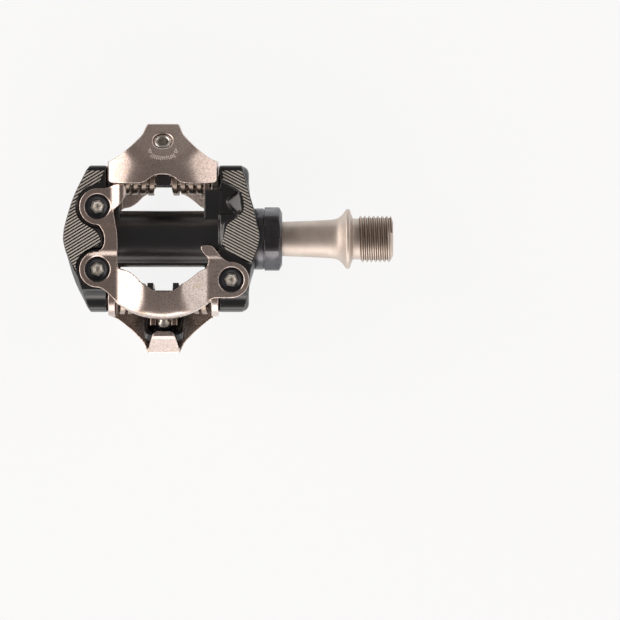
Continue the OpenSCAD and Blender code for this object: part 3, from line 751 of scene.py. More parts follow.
@dataclass
class Spindle(Assembly):
    """The steel spindle with its flange and helical crank thread, from (0, 0, 0) at the shoulder."""

    thread_radius: float = 7.145
    root_radius: float = 6.1
    pitch: float = 1.27
    thread_start: float = 2.32
    turns: float = 7.2
    tip: float = 11.89
    socket_across: float = 8.0
    socket_depth: float = 7.0

    def shank(self) -> Piece:
        """The turned steel from the nut's end to the crank's."""
        shoulder = -PEDAL_MIDDLE
        inner = [(-25.9, 0), (-25.9, 2.5), (-25.4, 3), (-10.7, 3), (-10.5, 3.3), (-3.05, 3.3)]
        race = arc((-1.5, 4.75), 1.23, 190, 350, 10)
        bearing = [(-2.7, 3.5), *race, (1.7, 4.85), (4.5, 4.2), (15.1, 4.2), (16.3, 5.0)]
        outer = [(-20.3, 5.0), (-10, 5.4), (-6.2, 5.62), (-5.3, 5.74), (-4.6, 5.9), (-4, 6.15), (-3.4, 6.6),
                 (-2.9, 7.1), (-2.4, 7.75), (-2.0, 8.3), (-1.75, 8.62), (-1.4, 8.75), (-1.0, 8.72),
                 (-0.7, 8.45), (-0.5, 7.9), (-0.38, 7.3), (-0.15, 6.9), (0, 6.6), (0, 6.2), (0.3, 5.98)]
        root, tip = self.root_radius, self.tip
        end = [(2.3, 5.95), (2.6, root), (11.0, root), (11.4, 5.85), (11.78, 5.2), (tip, 4.95), (tip, 0)]
        profile = inner + bearing + [(x + shoulder, r) for x, r in eased(outer, 1) + end]
        steel = Bench.turned("spindle_steel", profile, 112)
        socket = Bench.hexagon("socket", self.socket_across, 0, self.socket_depth + 1)
        Bench.shifted(Bench.spun(socket, 90, "Y"), shoulder + tip - self.socket_depth)
        return Bench.cut(steel, socket)

    def thread(self) -> Piece:
        """The helical ridge of the crank thread, run out at both ends."""
        root, crest, flat = self.root_radius - 0.25, self.thread_radius, 0.09
        section = [(-0.62, root), (-flat, crest), (flat, crest), (0.62, root)]
        ridge = Bench.loop("thread_ridge", section, filled=False)
        steps = round(72 * self.turns)
        Bench.modified(ridge, "SCREW", axis="X", angle=2 * math.pi * self.turns, use_merge_vertices=False,
                       screw_offset=self.pitch * self.turns, steps=steps, render_steps=steps)
        Bench.pressed(ridge, self.run_out)
        with Bench.editing(ridge):
            bpy.ops.mesh.fill_holes(sides=0)
        return Bench.outward(ridge)

    def run_out(self, place: Vector) -> tuple[float, float, float]:
        """Lowers the ridge under the neck at one end and the end chamfer at the other."""
        start = self.thread_start
        x = place.x + start + 0.1
        radius = math.hypot(place.y, place.z)
        limit = self.root_radius - 0.3 + 1.4 * smooth_step(start - 0.7, start + 0.3, x)
        limit = min(limit, self.thread_radius - 1.1 * max(0.0, x - 11.0), 6.8 - 3.5 * max(0.0, x - 11.3))
        shrink = min(1.0, max(limit, 5.2) / radius)
        return (min(x, 11.75) - PEDAL_MIDDLE, place.y * shrink, place.z * shrink)

    def build(self) -> list[Piece]:
        """Makes and installs the spindle."""
        shank = Bench.shaded(self.shank(), 40)
        thread = Bench.shaded(self.thread(), 40)
        self.install(shank, Side.TOP, "spindle", "spindle_steel", ["spindle"])
        self.install(thread, Side.TOP, "spindle", "spindle_steel")
        thread.data.materials[0] = self.finishes.thread
        return [shank, thread]


@dataclass
class LockCollar(Assembly):
    """The black hexagon collar that closes the body on the spindle."""

    across: float = 17.0
    start: float = 26.72
    hex_start: float = 29.6
    end: float = 34.6
    twist: float = 18.5

    def build(self) -> list[Piece]:
        """Makes and installs the collar."""
        bore, thread = 6.12, 7.38
        start, waist, end = self.start, self.hex_start, self.end
        ring = [(16.7, bore), (16.7, thread), (start, thread), (start, 8.85), (start + 0.15, 8.95),
                (waist - 0.55, 8.95), (waist - 0.4, 8.75), (waist - 0.1, 8.75), (waist - 0.1, bore)]
        flange = Bench.turned("collar_flange", ring)
        hexagon = Bench.hexagon("collar_hex", self.across, waist - 0.15, end)
        Bench.spun(Bench.spun(hexagon, 90, "Y"), self.twist, "X")
        limit = [(waist - 1, 0), (waist - 1, 9.15), (waist, 9.3), (end - 0.9, 9.3), (end, 7.6), (end + 1, 5),
                 (end + 1, 0)]
        Bench.cut(hexagon, Bench.turned("limit", limit), operation="INTERSECT")
        mouth = [(waist - 2, 0), (waist - 2, bore), (end - 2.2, bore), (end - 2.2, 6.5), (end - 0.6, 6.5),
                 (end - 0.6, 5.4), (end + 1, 5.4), (end + 1, 0)]
        Bench.cut(hexagon, Bench.turned("mouth", mouth))
        Bench.bevelled(hexagon, 0.18, 2, 30)
        collar = Bench.shaded(Bench.joined("lock_collar_black", flange, hexagon), 35)
        return [self.install(collar, Side.TOP, "pedal_body", "black_resin", ["lock_collar"])]


# ---- body ------------------------------------------------------------------------------------


@dataclass
class BodyCasting(Assembly):
    """The black cast body: barrel, two arms with raised decks, and the pivot bosses."""

    arm_in: float = 16.5
    barrel_radius: float = 8.2
    end: float = 21.3
    boss_radius: float = 4.4
    mouth: float = 26.7
    lobe_gap: float = 6.25
    voxel: float = 0.29
    outboard_edge: Plan = field(default_factory=lambda: [
        (-21.2, -21.3), (-22.2, -19.3), (-23.0, -17.0), (-24.2, -13.5), (-25.0, -11.1), (-25.7, -9.6),
        (-26.7, -7.1), (-28.1, -4.0), (-28.6, -2.1), (-29.0, -0.1), (-28.7, 2.9), (-28.2, 4.9), (-27.6, 7.1),
        (-26.7, 10.1), (-25.7, 12.8), (-24.7, 15.0), (-22.7, 19.0), (-22.3, 19.9), (-21.2, 21.3)])
    inboard_edge: Plan = field(default_factory=lambda: [
        (23.0, -21.3), (23.9, -19.5), (24.9, -16.0), (25.2, -12.0), (25.7, -8.6), (26.2, -7.4), (26.9, -5.1),
        (27.5, -3.1), (28.1, -1.1), (28.35, 0.5), (28.1, 2.0), (27.5, 4.0), (27.0, 6.4), (26.1, 9.9),
        (25.5, 11.8), (24.9, 14.1), (23.9, 17.3), (23.0, 21.3)])

    def top_at(self, y: float, crown: float) -> float:
        """Height of the upper side of the arms at a place along them, where its middle is crown."""
        return self.between(self.top_run(crown), y)

    def top_run(self, crown: float) -> Plan:
        """The (y, z) run of the arms' upper side, from the front end to the back."""
        front = [(-self.end, 1.2), (-20.8, 3.6), (-19.9, 4.6), (-16.6, 4.9), (-14.3, crown), (-12.8, crown)]
        back = [(6, crown), (self.end - 1.4, crown - 2.2), (self.end - 0.4, crown - 2.6),
                (self.end, crown - 3.6)]
        return eased(front + back, 2)

    @staticmethod
    def between(run: Plan, y: float) -> float:
        """Reads a run of (place, value) points at a place."""
        for (ya, za), (yb, zb) in zip(run, run[1:]):
            if y <= yb:
                return za + (zb - za) * max(0.0, y - ya) / (yb - ya)
        return run[-1][1]

    def arm(self, name: str, edge: Plan, inner: float, crown: float) -> Piece:
        """One arm, lofted along Y: its two outlines, above and below, meet in a sloping side.

        Args:
            name: The piece's name.
            edge: The outer side's (x, y) points, from front to back.
            inner: The inner side's place along X.
            crown: Height of its middle.

        Returns:
            The closed arm.
        """
        by_y = [(y, x) for x, y in edge]
        bends = {round(y, 1) for y, _ in by_y + self.top_run(crown)} | {-self.end, self.end}
        places = sorted(bends | {-y for y in bends})
        sections = []
        for y in places:
            above, below = self.between(by_y, y), self.between(by_y, -y)
            top, bottom = self.top_at(y, crown), -self.top_at(-y, crown)
            flank = min(1.5, top - 0.3, -bottom - 0.3)
            sections.append([(inner, top), (above, top), (above, flank), (below, -flank), (below, bottom),
                             (inner, bottom)])
        piece = Bench.loop(name, [(0, 0)] * 6)
        for vertex, (x, z) in zip(piece.data.vertices, sections[0]):
            vertex.co = (x, places[0], z)
        for i, section in enumerate(sections[1:], 1):
            at = places[i - 1]
            last = [(x, at, z) for x, z in sections[i - 1]]
            caps = (p for p in piece.data.polygons if len(p.vertices) == 6)
            chosen = {p.index for p in caps if abs(p.center.y - at) < 1e-4}
            with Bench.editing(piece, faces=lambda face, chosen=chosen: face.index in chosen):
                bpy.ops.mesh.extrude_region_move(TRANSFORM_OT_translate={"value": (0, 0, 0)})
            for vertex in [v for v in piece.data.vertices if v.select]:
                k = min(range(6), key=lambda j: (vertex.co - Vector(last[j])).length)
                vertex.co = (section[k][0], places[i], section[k][1])
        return Bench.outward(piece)

    def seat_cutter(self) -> Piece:
        """What is taken off the decks above the front claws' seats."""
        edge = 0.9 - self.arm_in
        strap = [(edge - 2.6, 16.6), (edge - 1.2, 20), (edge + 3, 20), (edge + 3, -30), (-40, -30),
                 (-40, -9.6), (edge - 9.2, -9.6), (edge - 3, -9.4), (edge - 3, -3.6), (edge - 2.1, -2),
                 (edge - 1.9, 0), (edge - 2.2, 1.6), (edge - 3.2, 3.4), (edge - 3.2, 15)]
        low, high = SEAT_Z, DECK_Z + 3
        inner = self.arm_in
        landing = [(inner - 1, -30), (40, -30), (40, -7.2), (inner + 8.5, -7), (inner + 6.5, -5.9),
                   (inner + 4.5, -4.8), (inner + 2.2, -3.7), (inner + 0.3, -2.4), (inner - 0.4, -1.6),
                   (inner + 0.3, 3.9), (inner + 1.8, 4.9), (inner + 4.4, 5.6), (inner + 5.8, 7),
                   (inner - 1, 7)]
        cutter = Bench.prism("seat_cutter", strap, low, high)
        tools = [Bench.prism("landing", landing, low, high)]
        tools += [Bench.prism("lobe", arc(lobe, self.lobe_gap, 0, 354, 59), low, high) for lobe in LOBES]
        return Bench.cut(cutter, *tools, operation="UNION")

    def pocket_cutter(self) -> Piece:
        """The scooped hollow in the inboard deck, open to the claw."""
        x = self.arm_in
        plan = eased([(x - 2, 7.0), (x + 3.4, 7.0), (x + 5.6, 7.5), (x + 6.9, 9), (x + 6.9, 10.8),
                      (x + 6.2, 13.2), (x + 4.6, 14.6), (x + 1, 17), (x - 2, 17)], 1)
        cutter = Bench.grid("pocket_cutter", (x - 2.2, 6.6), (x + 7.4, 17.4), 0.25)
        Bench.modified(cutter, "SOLIDIFY", thickness=1, offset=1)
        Bench.pressed(cutter, lambda v: (v.x, v.y, 20 if v.z > 0.5 else self.scoop(v.x, v.y)))
        return Bench.cut(cutter, Bench.prism("plan", plan, 0, 22), operation="INTERSECT")

    def scoop(self, x: float, y: float) -> float:
        """Height of the hollow's floor: deep towards the claw, with one slanting face at its back."""
        fold = self.arm_in + 1.7 + (1.29 if y > 10.85 else -0.92) * (y - 10.85)
        face = DECK_Z - 0.1 - 0.8 * (self.arm_in + 6.9 - x)
        return DECK_Z - 4.2 + max(0.0, face - DECK_Z + 4.2) * smooth_step(fold - 0.3, fold + 0.3, x)

    def deck_chamfer(self) -> Piece:
        """What bevels the inboard deck's edge towards the barrel."""
        foot, low, high = self.arm_in - 0.4, SEAT_Z, DECK_Z + 0.3
        section = [(15.0, low), (foot, low), (foot + high - low, high), (15.0, high)]
        wedge = Bench.spun(Bench.prism("deck_chamfer", section, -4.9, 2.0), 90, "X")
        return Bench.pressed(wedge, lambda v: (v.x + 0.126 * (v.y + 1.6), v.y, v.z))

    def casting(self) -> Piece:
        """The whole casting, fused and softened."""
        shells = []
        for side in Side:
            arms = Bench.joined("arms", self.arm("outboard_arm", self.outboard_edge, -self.arm_in, DECK_Z),
                                self.arm("inboard_arm", self.inboard_edge, self.arm_in, DECK_Z))
            Bench.cut(arms, self.seat_cutter(), self.pocket_cutter(), self.deck_chamfer())
            for lobe in LOBES:
                Bench.cut(arms, Bench.prism("screw_hole", arc(lobe, 2.52, 0, 345, 23), 3.4, 12))
            shells.append(arms)
            if side is Side.BOTTOM:
                Bench.spun(arms, 180, "X")
        body = Bench.cut(shells[0], shells[1], operation="INTERSECT")
        extras = [Bench.bar("barrel", self.barrel_radius, -self.arm_in - 1, self.mouth - 0.5),
                  Bench.bar("mouth", 8.95, self.arm_in, self.mouth)]
        r = self.boss_radius
        end_boss = [(16.15, 0), (16.15, r), (22.9, r), (23.8, r - 0.3), (24.5, r - 0.9), (24.85, r - 1.7),
                    (24.9, r - 2.2), (24.9, 0)]
        brow = [(-3.5, 7.4), (-7.0, 4.9), (-7.8, 3.2), (-8.18, 0.3), (-4, 0), (0, 6)]
        for turn in (0, 180):
            own = [Bench.bar("boss", r, -19.2, -16.15, PIVOT_Y),
                   Bench.shifted(Bench.turned("boss", end_boss, 48), y=PIVOT_Y),
                   Bench.side_prism("brow", brow, -17, 17)]
            for near, far in ((-16.6, -12.67), (11.93, 16.6)):
                own.append(Bench.block("spring_stop", (near, 6.2, 4.15), (far, 10.2, 5.9)))
                # A black block over the spring legs: partly the body's dark guide, partly a dark cover
                # standing in for the shade over the legs.
                own.append(Bench.block("leg_cover_and_shade", (near, 8.0, 4.9), (far, 14.3, 5.9)))
            extras += [Bench.spun(piece, turn, "X") for piece in own]
        body = Bench.joined("body_black", body, *extras)
        Bench.softened(body, self.voxel, 4)
        return self.bored(body)

    def bored(self, body: Piece) -> Piece:
        """Cuts the bearing bore and the pin holes."""
        bore = Bench.turned("bore", [(-26.5, 0), (-26.5, 5.6), (-14.2, 5.6), (-14.2, 6.8), (16.5, 6.8),
                                     (16.5, 7.4), (self.mouth + 1, 7.4), (self.mouth + 1, 0)], 64)
        Bench.cut(body, bore)
        for sign in (1, -1):
            Bench.cut(body, Bench.bar("pin_hole", PIN_RADIUS + 0.02, -20.1, 30, sign * PIVOT_Y))
        return body

    def build(self) -> list[Piece]:
        """Makes and installs the body."""
        body = Bench.shaded(self.casting(), 60)
        return [self.install(body, Side.TOP, "pedal_body", "body_black", ["body_casting"])]


@dataclass
class GripRidges(Assembly):
    """The slanting ridges on the decks, ground bare on top."""

    rise: float = 0.26
    top_width: float = 0.38
    foot_width: float = 0.46
    outboard_pitch: float = 0.805
    outboard_slant: float = 31.5
    inboard_pitch: float = 0.80
    inboard_slant: float = -27.5
    lobe_gap: float = 6.45

    def outboard_field(self) -> Plan:
        """Outline of the ridges on the outboard deck."""
        edge = [(-24.9, -9.47), (-26.45, -7.0), (-27.85, -4.0), (-28.35, -2.1), (-28.75, -0.1), (-28.5, 2.8),
                (-27.95, 4.9), (-27.35, 7.1), (-26.45, 10.1), (-25.45, 12.8), (-24.45, 15.0), (-22.5, 18.9),
                (-21.9, 19.76)]
        back = [(-16.94, 19.76), (-17.44, 18.66), (-17.93, 17.57), (-18.13, 16.38), (-19.2, 15.9)]
        lobe = arc(LOBES[0], self.lobe_gap, 100, 226, 14)
        waist = [(-21.4, 3.45), (-20.2, 2.76), (-19.2, 1.86), (-18.43, 0.87), (-18.1, -0.1), (-17.95, -0.92),
                 (-18.5, -1.8), (-19.6, -2.35)]
        return eased(edge, 1) + back + lobe + eased(waist, 1) + arc(LOBES[1], self.lobe_gap, 100, 170, 10)

    def inboard_field(self) -> Plan:
        """Outline of the ridges on the inboard deck."""
        back = [(17.25, 19.76), (23.0, 19.76), (23.6, 17.3), (24.6, 14.1), (25.2, 11.8), (25.8, 9.9),
                (26.7, 6.4), (27.2, 4.0), (27.8, 2.0), (28.0, 0.5), (27.75, -1.1), (27.2, -3.1),
                (26.5, -5.1), (25.7, -6.9)]
        front = [(24.9, -6.98), (23.1, -5.99), (21.1, -4.9), (18.85, -3.8), (17.65, -2.1), (17.35, -1.3),
                 (17.6, -0.1), (17.95, 1.4), (18.65, 4.15), (20.1, 5.1), (21.6, 6.1), (22.8, 7.2),
                 (23.5, 8.3), (23.6, 9.8), (23.3, 11.8), (22.5, 13.9), (21.1, 14.7), (19.1, 15.8),
                 (17.55, 17.0)]
        return back + eased(front, 1)

    def bars(self, name: str, plan: Plan, pitch: float, slant: float) -> Piece:
        """Ridges of one slant over an outline, trimmed to it and laid on the deck.

        Args:
            name: The piece's name.
            plan: The outline.
            pitch: Distance from ridge to ridge.
            slant: Their rise towards +X in degrees.

        Returns:
            The ridges.
        """
        middle = (sum(x for x, _ in plan) / len(plan), sum(y for _, y in plan) / len(plan))
        top, foot = self.top_width / 2, self.foot_width / 2
        section = [(-foot, -0.3), (-foot, 0), (-top, self.rise), (top, self.rise), (foot, 0), (foot, -0.3)]
        first, count = Bench.side_prism("ridge", section, -30, 30), 24
        ridges = [first] + [Bench.shifted(Bench.copied(first), y=i * pitch) for i in range(1, 2 * count + 1)]
        ridges = Bench.shifted(Bench.joined(name, *ridges), y=-count * pitch)
        Bench.shifted(Bench.spun(ridges, slant, "Z"), *middle, DECK_Z)
        Bench.cut(ridges, Bench.prism("field", plan, DECK_Z - 1, DECK_Z + 2), operation="INTERSECT")
        with Bench.editing(ridges):
            bpy.ops.mesh.bisect(plane_co=(0, 6, 0), plane_no=(0, 1, 0))
        return Bench.pressed(ridges, self.on_deck)

    def on_deck(self, place: Vector) -> tuple[float, float, float]:
        """Lowers a place with the deck, which falls to the back."""
        return (place.x, place.y, place.z - 2.2 * max(0.0, place.y - 6) / 14.2)

    def build(self) -> list[Piece]:
        """Makes and installs the ridges of both sides."""
        placed = []
        fields = (("outboard_ridges", self.outboard_field(), self.outboard_pitch, self.outboard_slant),
                  ("inboard_ridges", self.inboard_field(), self.inboard_pitch, self.inboard_slant))
        for name, plan, pitch, slant in fields:
            ridges = self.bars(name, plan, pitch, slant)
            for one in self.both_sides(ridges, "pedal_body", "body_black"):
                one.data.materials.append(self.finishes.bare_alloy)
                for face in one.data.polygons:
                    face.material_index = 1 if abs(face.normal.z) > 0.9 else 0
                placed.append(one)
        return placed


# ---- front claw ------------------------------------------------------------------------------


@dataclass
class FrontClaw(Assembly):
    """The fixed claw: one pressed plate with three screw lobes, a strap and an arch."""

    plate: float = 1.5
    strap_rise: float = 1.0
    foot: float = 13.1
    leg_slope: float = 38.0
    crest: float = 15.4
    roof_slope: float = -12.0
    rim_middle: float = -2.2
    rim_radius: float = 21.1
    rim_roll: float = 4.0
    tab_back: Slope = Slope((-11.9, 0, 12.0), 0, 36)
    lobe_radius: float = 5.25
    hole_radius: float = 3.8
    cell: float = 0.36
    voxel: float = 0.2

    def outline(self) -> Plan:
        """The plate's outline from above, clockwise from the back lobe."""
        back, front, inboard = LOBES
        tab = [(-16.57, 14.54), (-15.58, 14.84), (-14.59, 15.34), (-13.89, 15.74), (-13.2, 15.84),
               (-11.4, 15.7), (-10.75, 15.2), (-10.51, 14.3), (-10.5, 13.3), (-10.7, 12.1), (-11.6, 11.07),
               (-12.4, 9.78), (-13.59, 8.89), (-14.29, 8.09), (-14.12, 6.82), (-13.73, 4.83),
               (-13.33, 2.84), (-13.06, -0.14), (-12.98, -3.12), (-13.2, -6.6), (-12.93, -8.08),
               (-12.05, -9.0)]
        hook = [(-11.06, -9.19), (-10.07, -9.39), (-9.08, -9.99), (-8.08, -10.68), (-7.09, -11.67),
                (-6.4, -12.47), (-5.6, -13.0), (-4.81, -13.45), (-3.7, -14.35), (-2.83, -14.95),
                (-1.93, -15.4), (-1.0, -15.44), (1.4, -15.44), (2.33, -15.4), (3.32, -15.05),
                (4.31, -14.35), (5.11, -13.66), (5.7, -13.1), (6.5, -12.8), (8.28, -11.48), (9.27, -10.68),
                (10.27, -9.79), (11.26, -9.19), (12.2, -8.9)]
        finger = [(12.9, -8.0), (13.25, -7.1), (13.3, -6.3), (13.01, -5.6), (12.21, -4.71), (11.52, -3.82),
                  (11.12, -3.12), (11.12, -2.43), (11.62, -1.93), (13.9, -1.93), (14.59, -2.33),
                  (15.69, -3.62), (16.68, -5.01), (17.67, -5.9), (18.8, -6.5)]
        corner = [(15.6, -17.2), (14.7, -17.3), (14.0, -17.6), (13.4, -18.1)]
        shoulder = [(-13.3, -18.6), (-14.6, -17.03), (-16.09, -15.64), (-17.19, -14.74), (-18.18, -14.24)]
        waist = [(-18.4, -3.55), (-17.8, -3.1), (-17.2, -2.3), (-16.85, -1.0), (-16.85, 0.3), (-17.2, 1.9),
                 (-17.9, 3.1), (-18.5, 3.8)]
        rim = arc((0, self.rim_middle), self.rim_radius + 0.15, -51.0, -129.0, 40)
        return (arc(back, self.lobe_radius, 268, 90, 22) + eased(tab + hook + finger, 1)
                + arc(inboard, self.lobe_radius, 96, -90, 24) + eased(corner, 1) + rim + eased(shoulder, 1)
                + arc(front, self.lobe_radius, 268, 92, 22) + eased(waist, 1))

    def height(self, x: float, y: float, depth: float) -> float:
        """Height of the pressed plate over a place in plan.

        Args:
            x: Place along the spindle from the pedal's middle.
            y: Place towards the back.
            depth: How far under the upper skin.

        Returns:
            The height.
        """
        flat = SEAT_Z + self.plate
        if x < 0:
            rise = smooth_step(4.9, 2.9, y) * smooth_step(-5.6, -2.9, y)
        else:
            rise = 0.55 * smooth_step(-6.4, -4.6, y)
        level = flat + self.strap_rise * rise - depth
        foot = self.foot + 1.7 * smooth_step(6.5, 8.5, y)
        left = Slope((-foot, 0, flat), 0, -self.leg_slope).height(x, y, depth)
        if y > -7:
            back = self.tab_back.height(x, y, depth)
            return soft_max(level, soft_min(left, back, 1.6), 0.8) if x < 0 and y > 6.5 else level
        right = Slope((foot, 0, flat), 0, self.leg_slope).height(x, y, depth)
        roof = Slope((0, -19.5, self.crest), self.roof_slope).height(x, y, depth)
        over = math.hypot(x, y - self.rim_middle) - (self.rim_radius - self.rim_roll)
        cap = self.crest + 0.6 - depth
        if over > 0:
            roll = self.rim_roll - depth
            cap += math.sqrt(max(roll**2 - over**2, 0.0)) - roll - 20 * max(0.0, over - roll)
        arch = soft_min(soft_min(soft_min(left, right, 0.6), roof, 2.4), cap, 0.8)
        return soft_max(level, arch, 0.9)

    def sheet(self) -> Piece:
        """A fine sheet over the claw, with both its skins pressed to the claw's form."""
        sheet = Bench.grid("front_claw_plated", (-25.2, -24.4), (26.0, 16.8), self.cell)
        Bench.modified(sheet, "SOLIDIFY", thickness=self.plate, offset=-1)
        return Bench.pressed(sheet, lambda v: (v.x, v.y, self.height(v.x, v.y, -v.z)))

    def hole_cutter(self, lobe: tuple[float, float]) -> Piece:
        """The countersunk hole under one screw."""
        top = SEAT_Z + self.plate
        profile = [(top - 3, 0), (top - 3, self.hole_radius - 0.35), (top - 0.4, self.hole_radius - 0.35),
                   (top + 0.1, self.hole_radius + 0.15), (top + 3, self.hole_radius + 0.15), (top + 3, 0)]
        return Bench.shifted(Bench.spun(Bench.turned("screw_hole", profile, 64), -90, "Y"), *lobe)

    def build(self) -> list[Piece]:
        """Makes and installs both front claws."""
        claw = Bench.cut(self.sheet(), Bench.prism("blank", self.outline(), 7.6, 18), operation="INTERSECT")
        Bench.cut(claw, *[self.hole_cutter(lobe) for lobe in LOBES])
        Bench.softened(claw, self.voxel, 4)
        claws = self.both_sides(claw, "pedal_body", "claw_plate", "front_claw")
        for piece, inward in zip(claws, (-1, 1)):
            piece.data.materials.append(self.finishes.plating_inside)
            for face in piece.data.polygons:
                face.material_index = 1 if face.normal.z * inward > 0.35 else 0
        return claws


@dataclass
class ClawScrews(Assembly):
    """The three countersunk screws of each front claw."""

    head_radius: float = 3.5
    top: float = 9.86
    socket_across: float = 3.3
    turns: tuple = (12.0, 40.0, -8.0)

    def head(self) -> Piece:
        """One screw with a dished head, round its own axis."""
        r = self.head_radius
        profile = [(-6.2, 0), (-6.2, 2.1), (-5.8, 2.45), (-1.6, 2.45), (-1.5, r - 0.9), (-0.35, r - 0.1),
                   (-0.12, r), (-0.02, r - 0.12), (0, r - 0.45), (-0.1, r - 0.75), (-0.4, r - 1.15),
                   (-0.55, 2.05), (-0.6, 1.85), (-0.6, 0)]
        screw = Bench.turned("screw", profile, 64)
        socket = Bench.hexagon("socket", self.socket_across + 0.3, -2.5, 1)
        return Bench.cut(screw, Bench.spun(socket, 90, "Y"))

    def cup(self) -> Piece:
        """The socket's bright wall and coned floor, as a hexagonal cup."""
        wall = Bench.hexagon("cup", self.socket_across + 0.28, -2.48, -0.62)
        Bench.cut(wall, Bench.hexagon("hollow", self.socket_across, -1.35, 0))
        point = Bench.turned("point", [(-2.35, 0), (-1.35, 1.52), (-1.0, 1.52), (-1.0, 0)], 6)
        return Bench.cut(Bench.spun(wall, 90, "Y"), Bench.spun(point, 30, "X"))

    def row(self, name: str, make: Callable[[], Piece]) -> Piece:
        """Copies of one piece at the three lobes, each turned as its screw came to rest."""
        first = Bench.spun(make(), -90, "Y")
        copies = [Bench.shifted(Bench.spun(Bench.copied(first), turn, "Z"), *lobe, self.top)
                  for lobe, turn in zip(LOBES, self.turns)]
        bpy.data.objects.remove(first)
        return Bench.shaded(Bench.joined(name, *copies), 30)

    def build(self) -> list[Piece]:
        """Makes and installs the screws of both sides."""
        heads = self.row("claw_screws_black", self.head)
        placed = self.both_sides(heads, "pedal_body", "black_screw", "claw_screws")
        return placed + self.both_sides(self.row("screw_sockets", self.cup), "pedal_body", "bolt_steel")


# ---- rear claw -------------------------------------------------------------------------------


@dataclass
class RearClaw(Assembly):
    """The sprung claw: a folded plate with two ears, a hooking edge and a folded tip."""

    camera: "PhotoCamera"
    half: float = 16.0
    ear: float = 2.0
    plate: float = 1.8
    ear_radius: float = 5.6
    hook: float = 14.6
    hook_pitch: float = 11.0
    bend_y: float = 22.3
    tip_slope: float = 38.0
    tip_y: float = 33.4
    bolt_y: float = 28.5
    hole_radius: float = 2.82
    side_roll: float = 0.6
    cell: float = 0.36
    voxel: float = 0.2
    wing: Slope = Slope((8.4, 23.5, 11.9), 18.5, 20)
    wing_end: Slope = Slope((10.8, 23.5, 11.03), 18.5, 30)

    @property
    def tip(self) -> Slope:
        """The plane from the bend down to the tip."""
        bend_z = self.hook - 6 * math.tan(math.radians(self.hook_pitch))
        return Slope((0, self.bend_y, bend_z), self.tip_slope)

    def height(self, x: float, y: float, depth: float = 0.0) -> float:
        """Height of the pressed plate over a place in plan, and this deep under its outer skin."""
        top = Slope((0, 16.3, self.hook), self.hook_pitch).height(x, y, depth)
        skin = soft_min(top, self.tip.height(x, y, depth), 1.2)
        wing = soft_min(self.wing.height(abs(x), y, depth), self.wing_end.height(abs(x), y, depth), 0.8)
        skin = soft_min(skin, wing, 1.3)
        roll = max(self.side_roll - depth, 0.01)
        over = abs(x) - (self.half - max(self.side_roll, depth))
        if over > 0:
            skin -= roll - math.sqrt(max(roll**2 - over**2, 0.0)) + 20 * max(0.0, over - roll)
        return max(skin, 2.0 - depth)

    def outline(self) -> Plan:
        """The plate's outline from above, without its ears."""
        side = self.half
        edge = [(0, 18.55), (1.6, 18.45), (3.1, 17.9), (4.3, 16.9), (5.4, 16.2), (7, 15.95), (10, 15.95),
                (13.2, 16.0), (14.9, 16.1), (side - 0.4, 16.6), (side + 0.1, 17.4), (side + 0.1, 22.3),
                (side - 0.8, 22.6), (13.2, 23.6), (11.2, 25.2), (9.2, 26.9), (7.2, 29.0), (6.2, 30.0),
                (5.5, 31.3), (4.8, 33.0), (4.5, self.tip_y)]
        half = eased(edge, 1)
        return half + mirrored(half[1:])

    def sheet(self) -> Piece:
        """The pressed plate, with its thickness and outline."""
        low, high = (-self.half - 0.4, 15.4), (self.half + 0.4, self.tip_y + 0.6)
        sheet = Bench.grid("rear_claw_plated", low, high, self.cell)
        Bench.modified(sheet, "SOLIDIFY", thickness=self.plate, offset=-1)
        Bench.pressed(sheet, lambda v: (v.x, v.y, self.height(v.x, v.y, -v.z)))
        return Bench.cut(sheet, Bench.prism("blank", self.outline(), 3.6, 18), operation="INTERSECT")

    def ears(self) -> list[Piece]:
        """The two ears round the pivot pin."""
        edge = arc((PIVOT_Y, 0), self.ear_radius, -122, -8, 16)
        edge += [(PIVOT_Y + self.ear_radius, 0.5), (22.5, 6.0), (22.5, 7.8), (21, 8.3), (17.4, 9.5),
                 (16.7, 9.4), (16.6, 9.0), (15.6, 4.5), (14.3, 1.6), (13.8, -1.2)]
        ears = []
        for way in (1, -1):
            inner = way * self.half - (self.ear if way > 0 else 0)
            ears.append(Bench.side_prism("ear", edge, inner, inner + self.ear))
        return ears

    def tab(self) -> Piece:
        """The tongue folded back under the tip."""
        top = self.tip.height(0, self.tip_y)
        lip_y, lip_z = self.tip_y - 6.5, -0.6
        side = [(self.tip_y, top), (self.tip_y + 0.05, top - 0.5), (self.tip_y - 0.2, top - 1.2),
                (lip_y + 2.0, lip_z - 0.75), (lip_y + 1.5, lip_z - 1.15), (lip_y + 0.8, lip_z - 1.3),
                (lip_y + 0.2, lip_z - 1.1), (lip_y - 0.1, lip_z - 0.5), (lip_y + 0.1, lip_z + 0.1),
                (self.tip_y - 1.6, top - 0.9), (self.tip_y - 2.4, top + 1.8)]
        tongue = Bench.side_prism("tab", side, -6, 6)
        y = self.tip_y
        plan = [(4.5, y + 1), (4.5, y - 0.6), (4.25, y - 2.2), (3.75, y - 3.9), (3.35, y - 5.0),
                (2.9, y - 5.9), (2.2, y - 6.5), (1.4, y - 6.75)]
        return Bench.cut(tongue, Bench.prism("trim", plan + mirrored(plan), -8, 12), operation="INTERSECT")

    def holes(self) -> list[Piece]:
        """Cutters for the tension bolt's recess and the pivot pin."""
        near, wide = self.hole_radius, self.hole_radius + 0.35
        profile = [(-1.0, 0), (-1.0, near), (-0.3, near), (0.2, wide), (6, wide), (6, 0)]
        recess = Bench.turned("recess", profile, 56)
        through = Bench.turned("through", [(-4, 0), (-4, 2.05), (0.5, 2.05), (0.5, 0)], 40)
        for tool in (recess, through):
            tool.data.transform(self.bolt_frame() @ Matrix.Rotation(-math.pi / 2, 4, "Y"))
        return [recess, through, Bench.bar("pin_hole", PIN_RADIUS + 0.04, -20, 20, PIVOT_Y)]

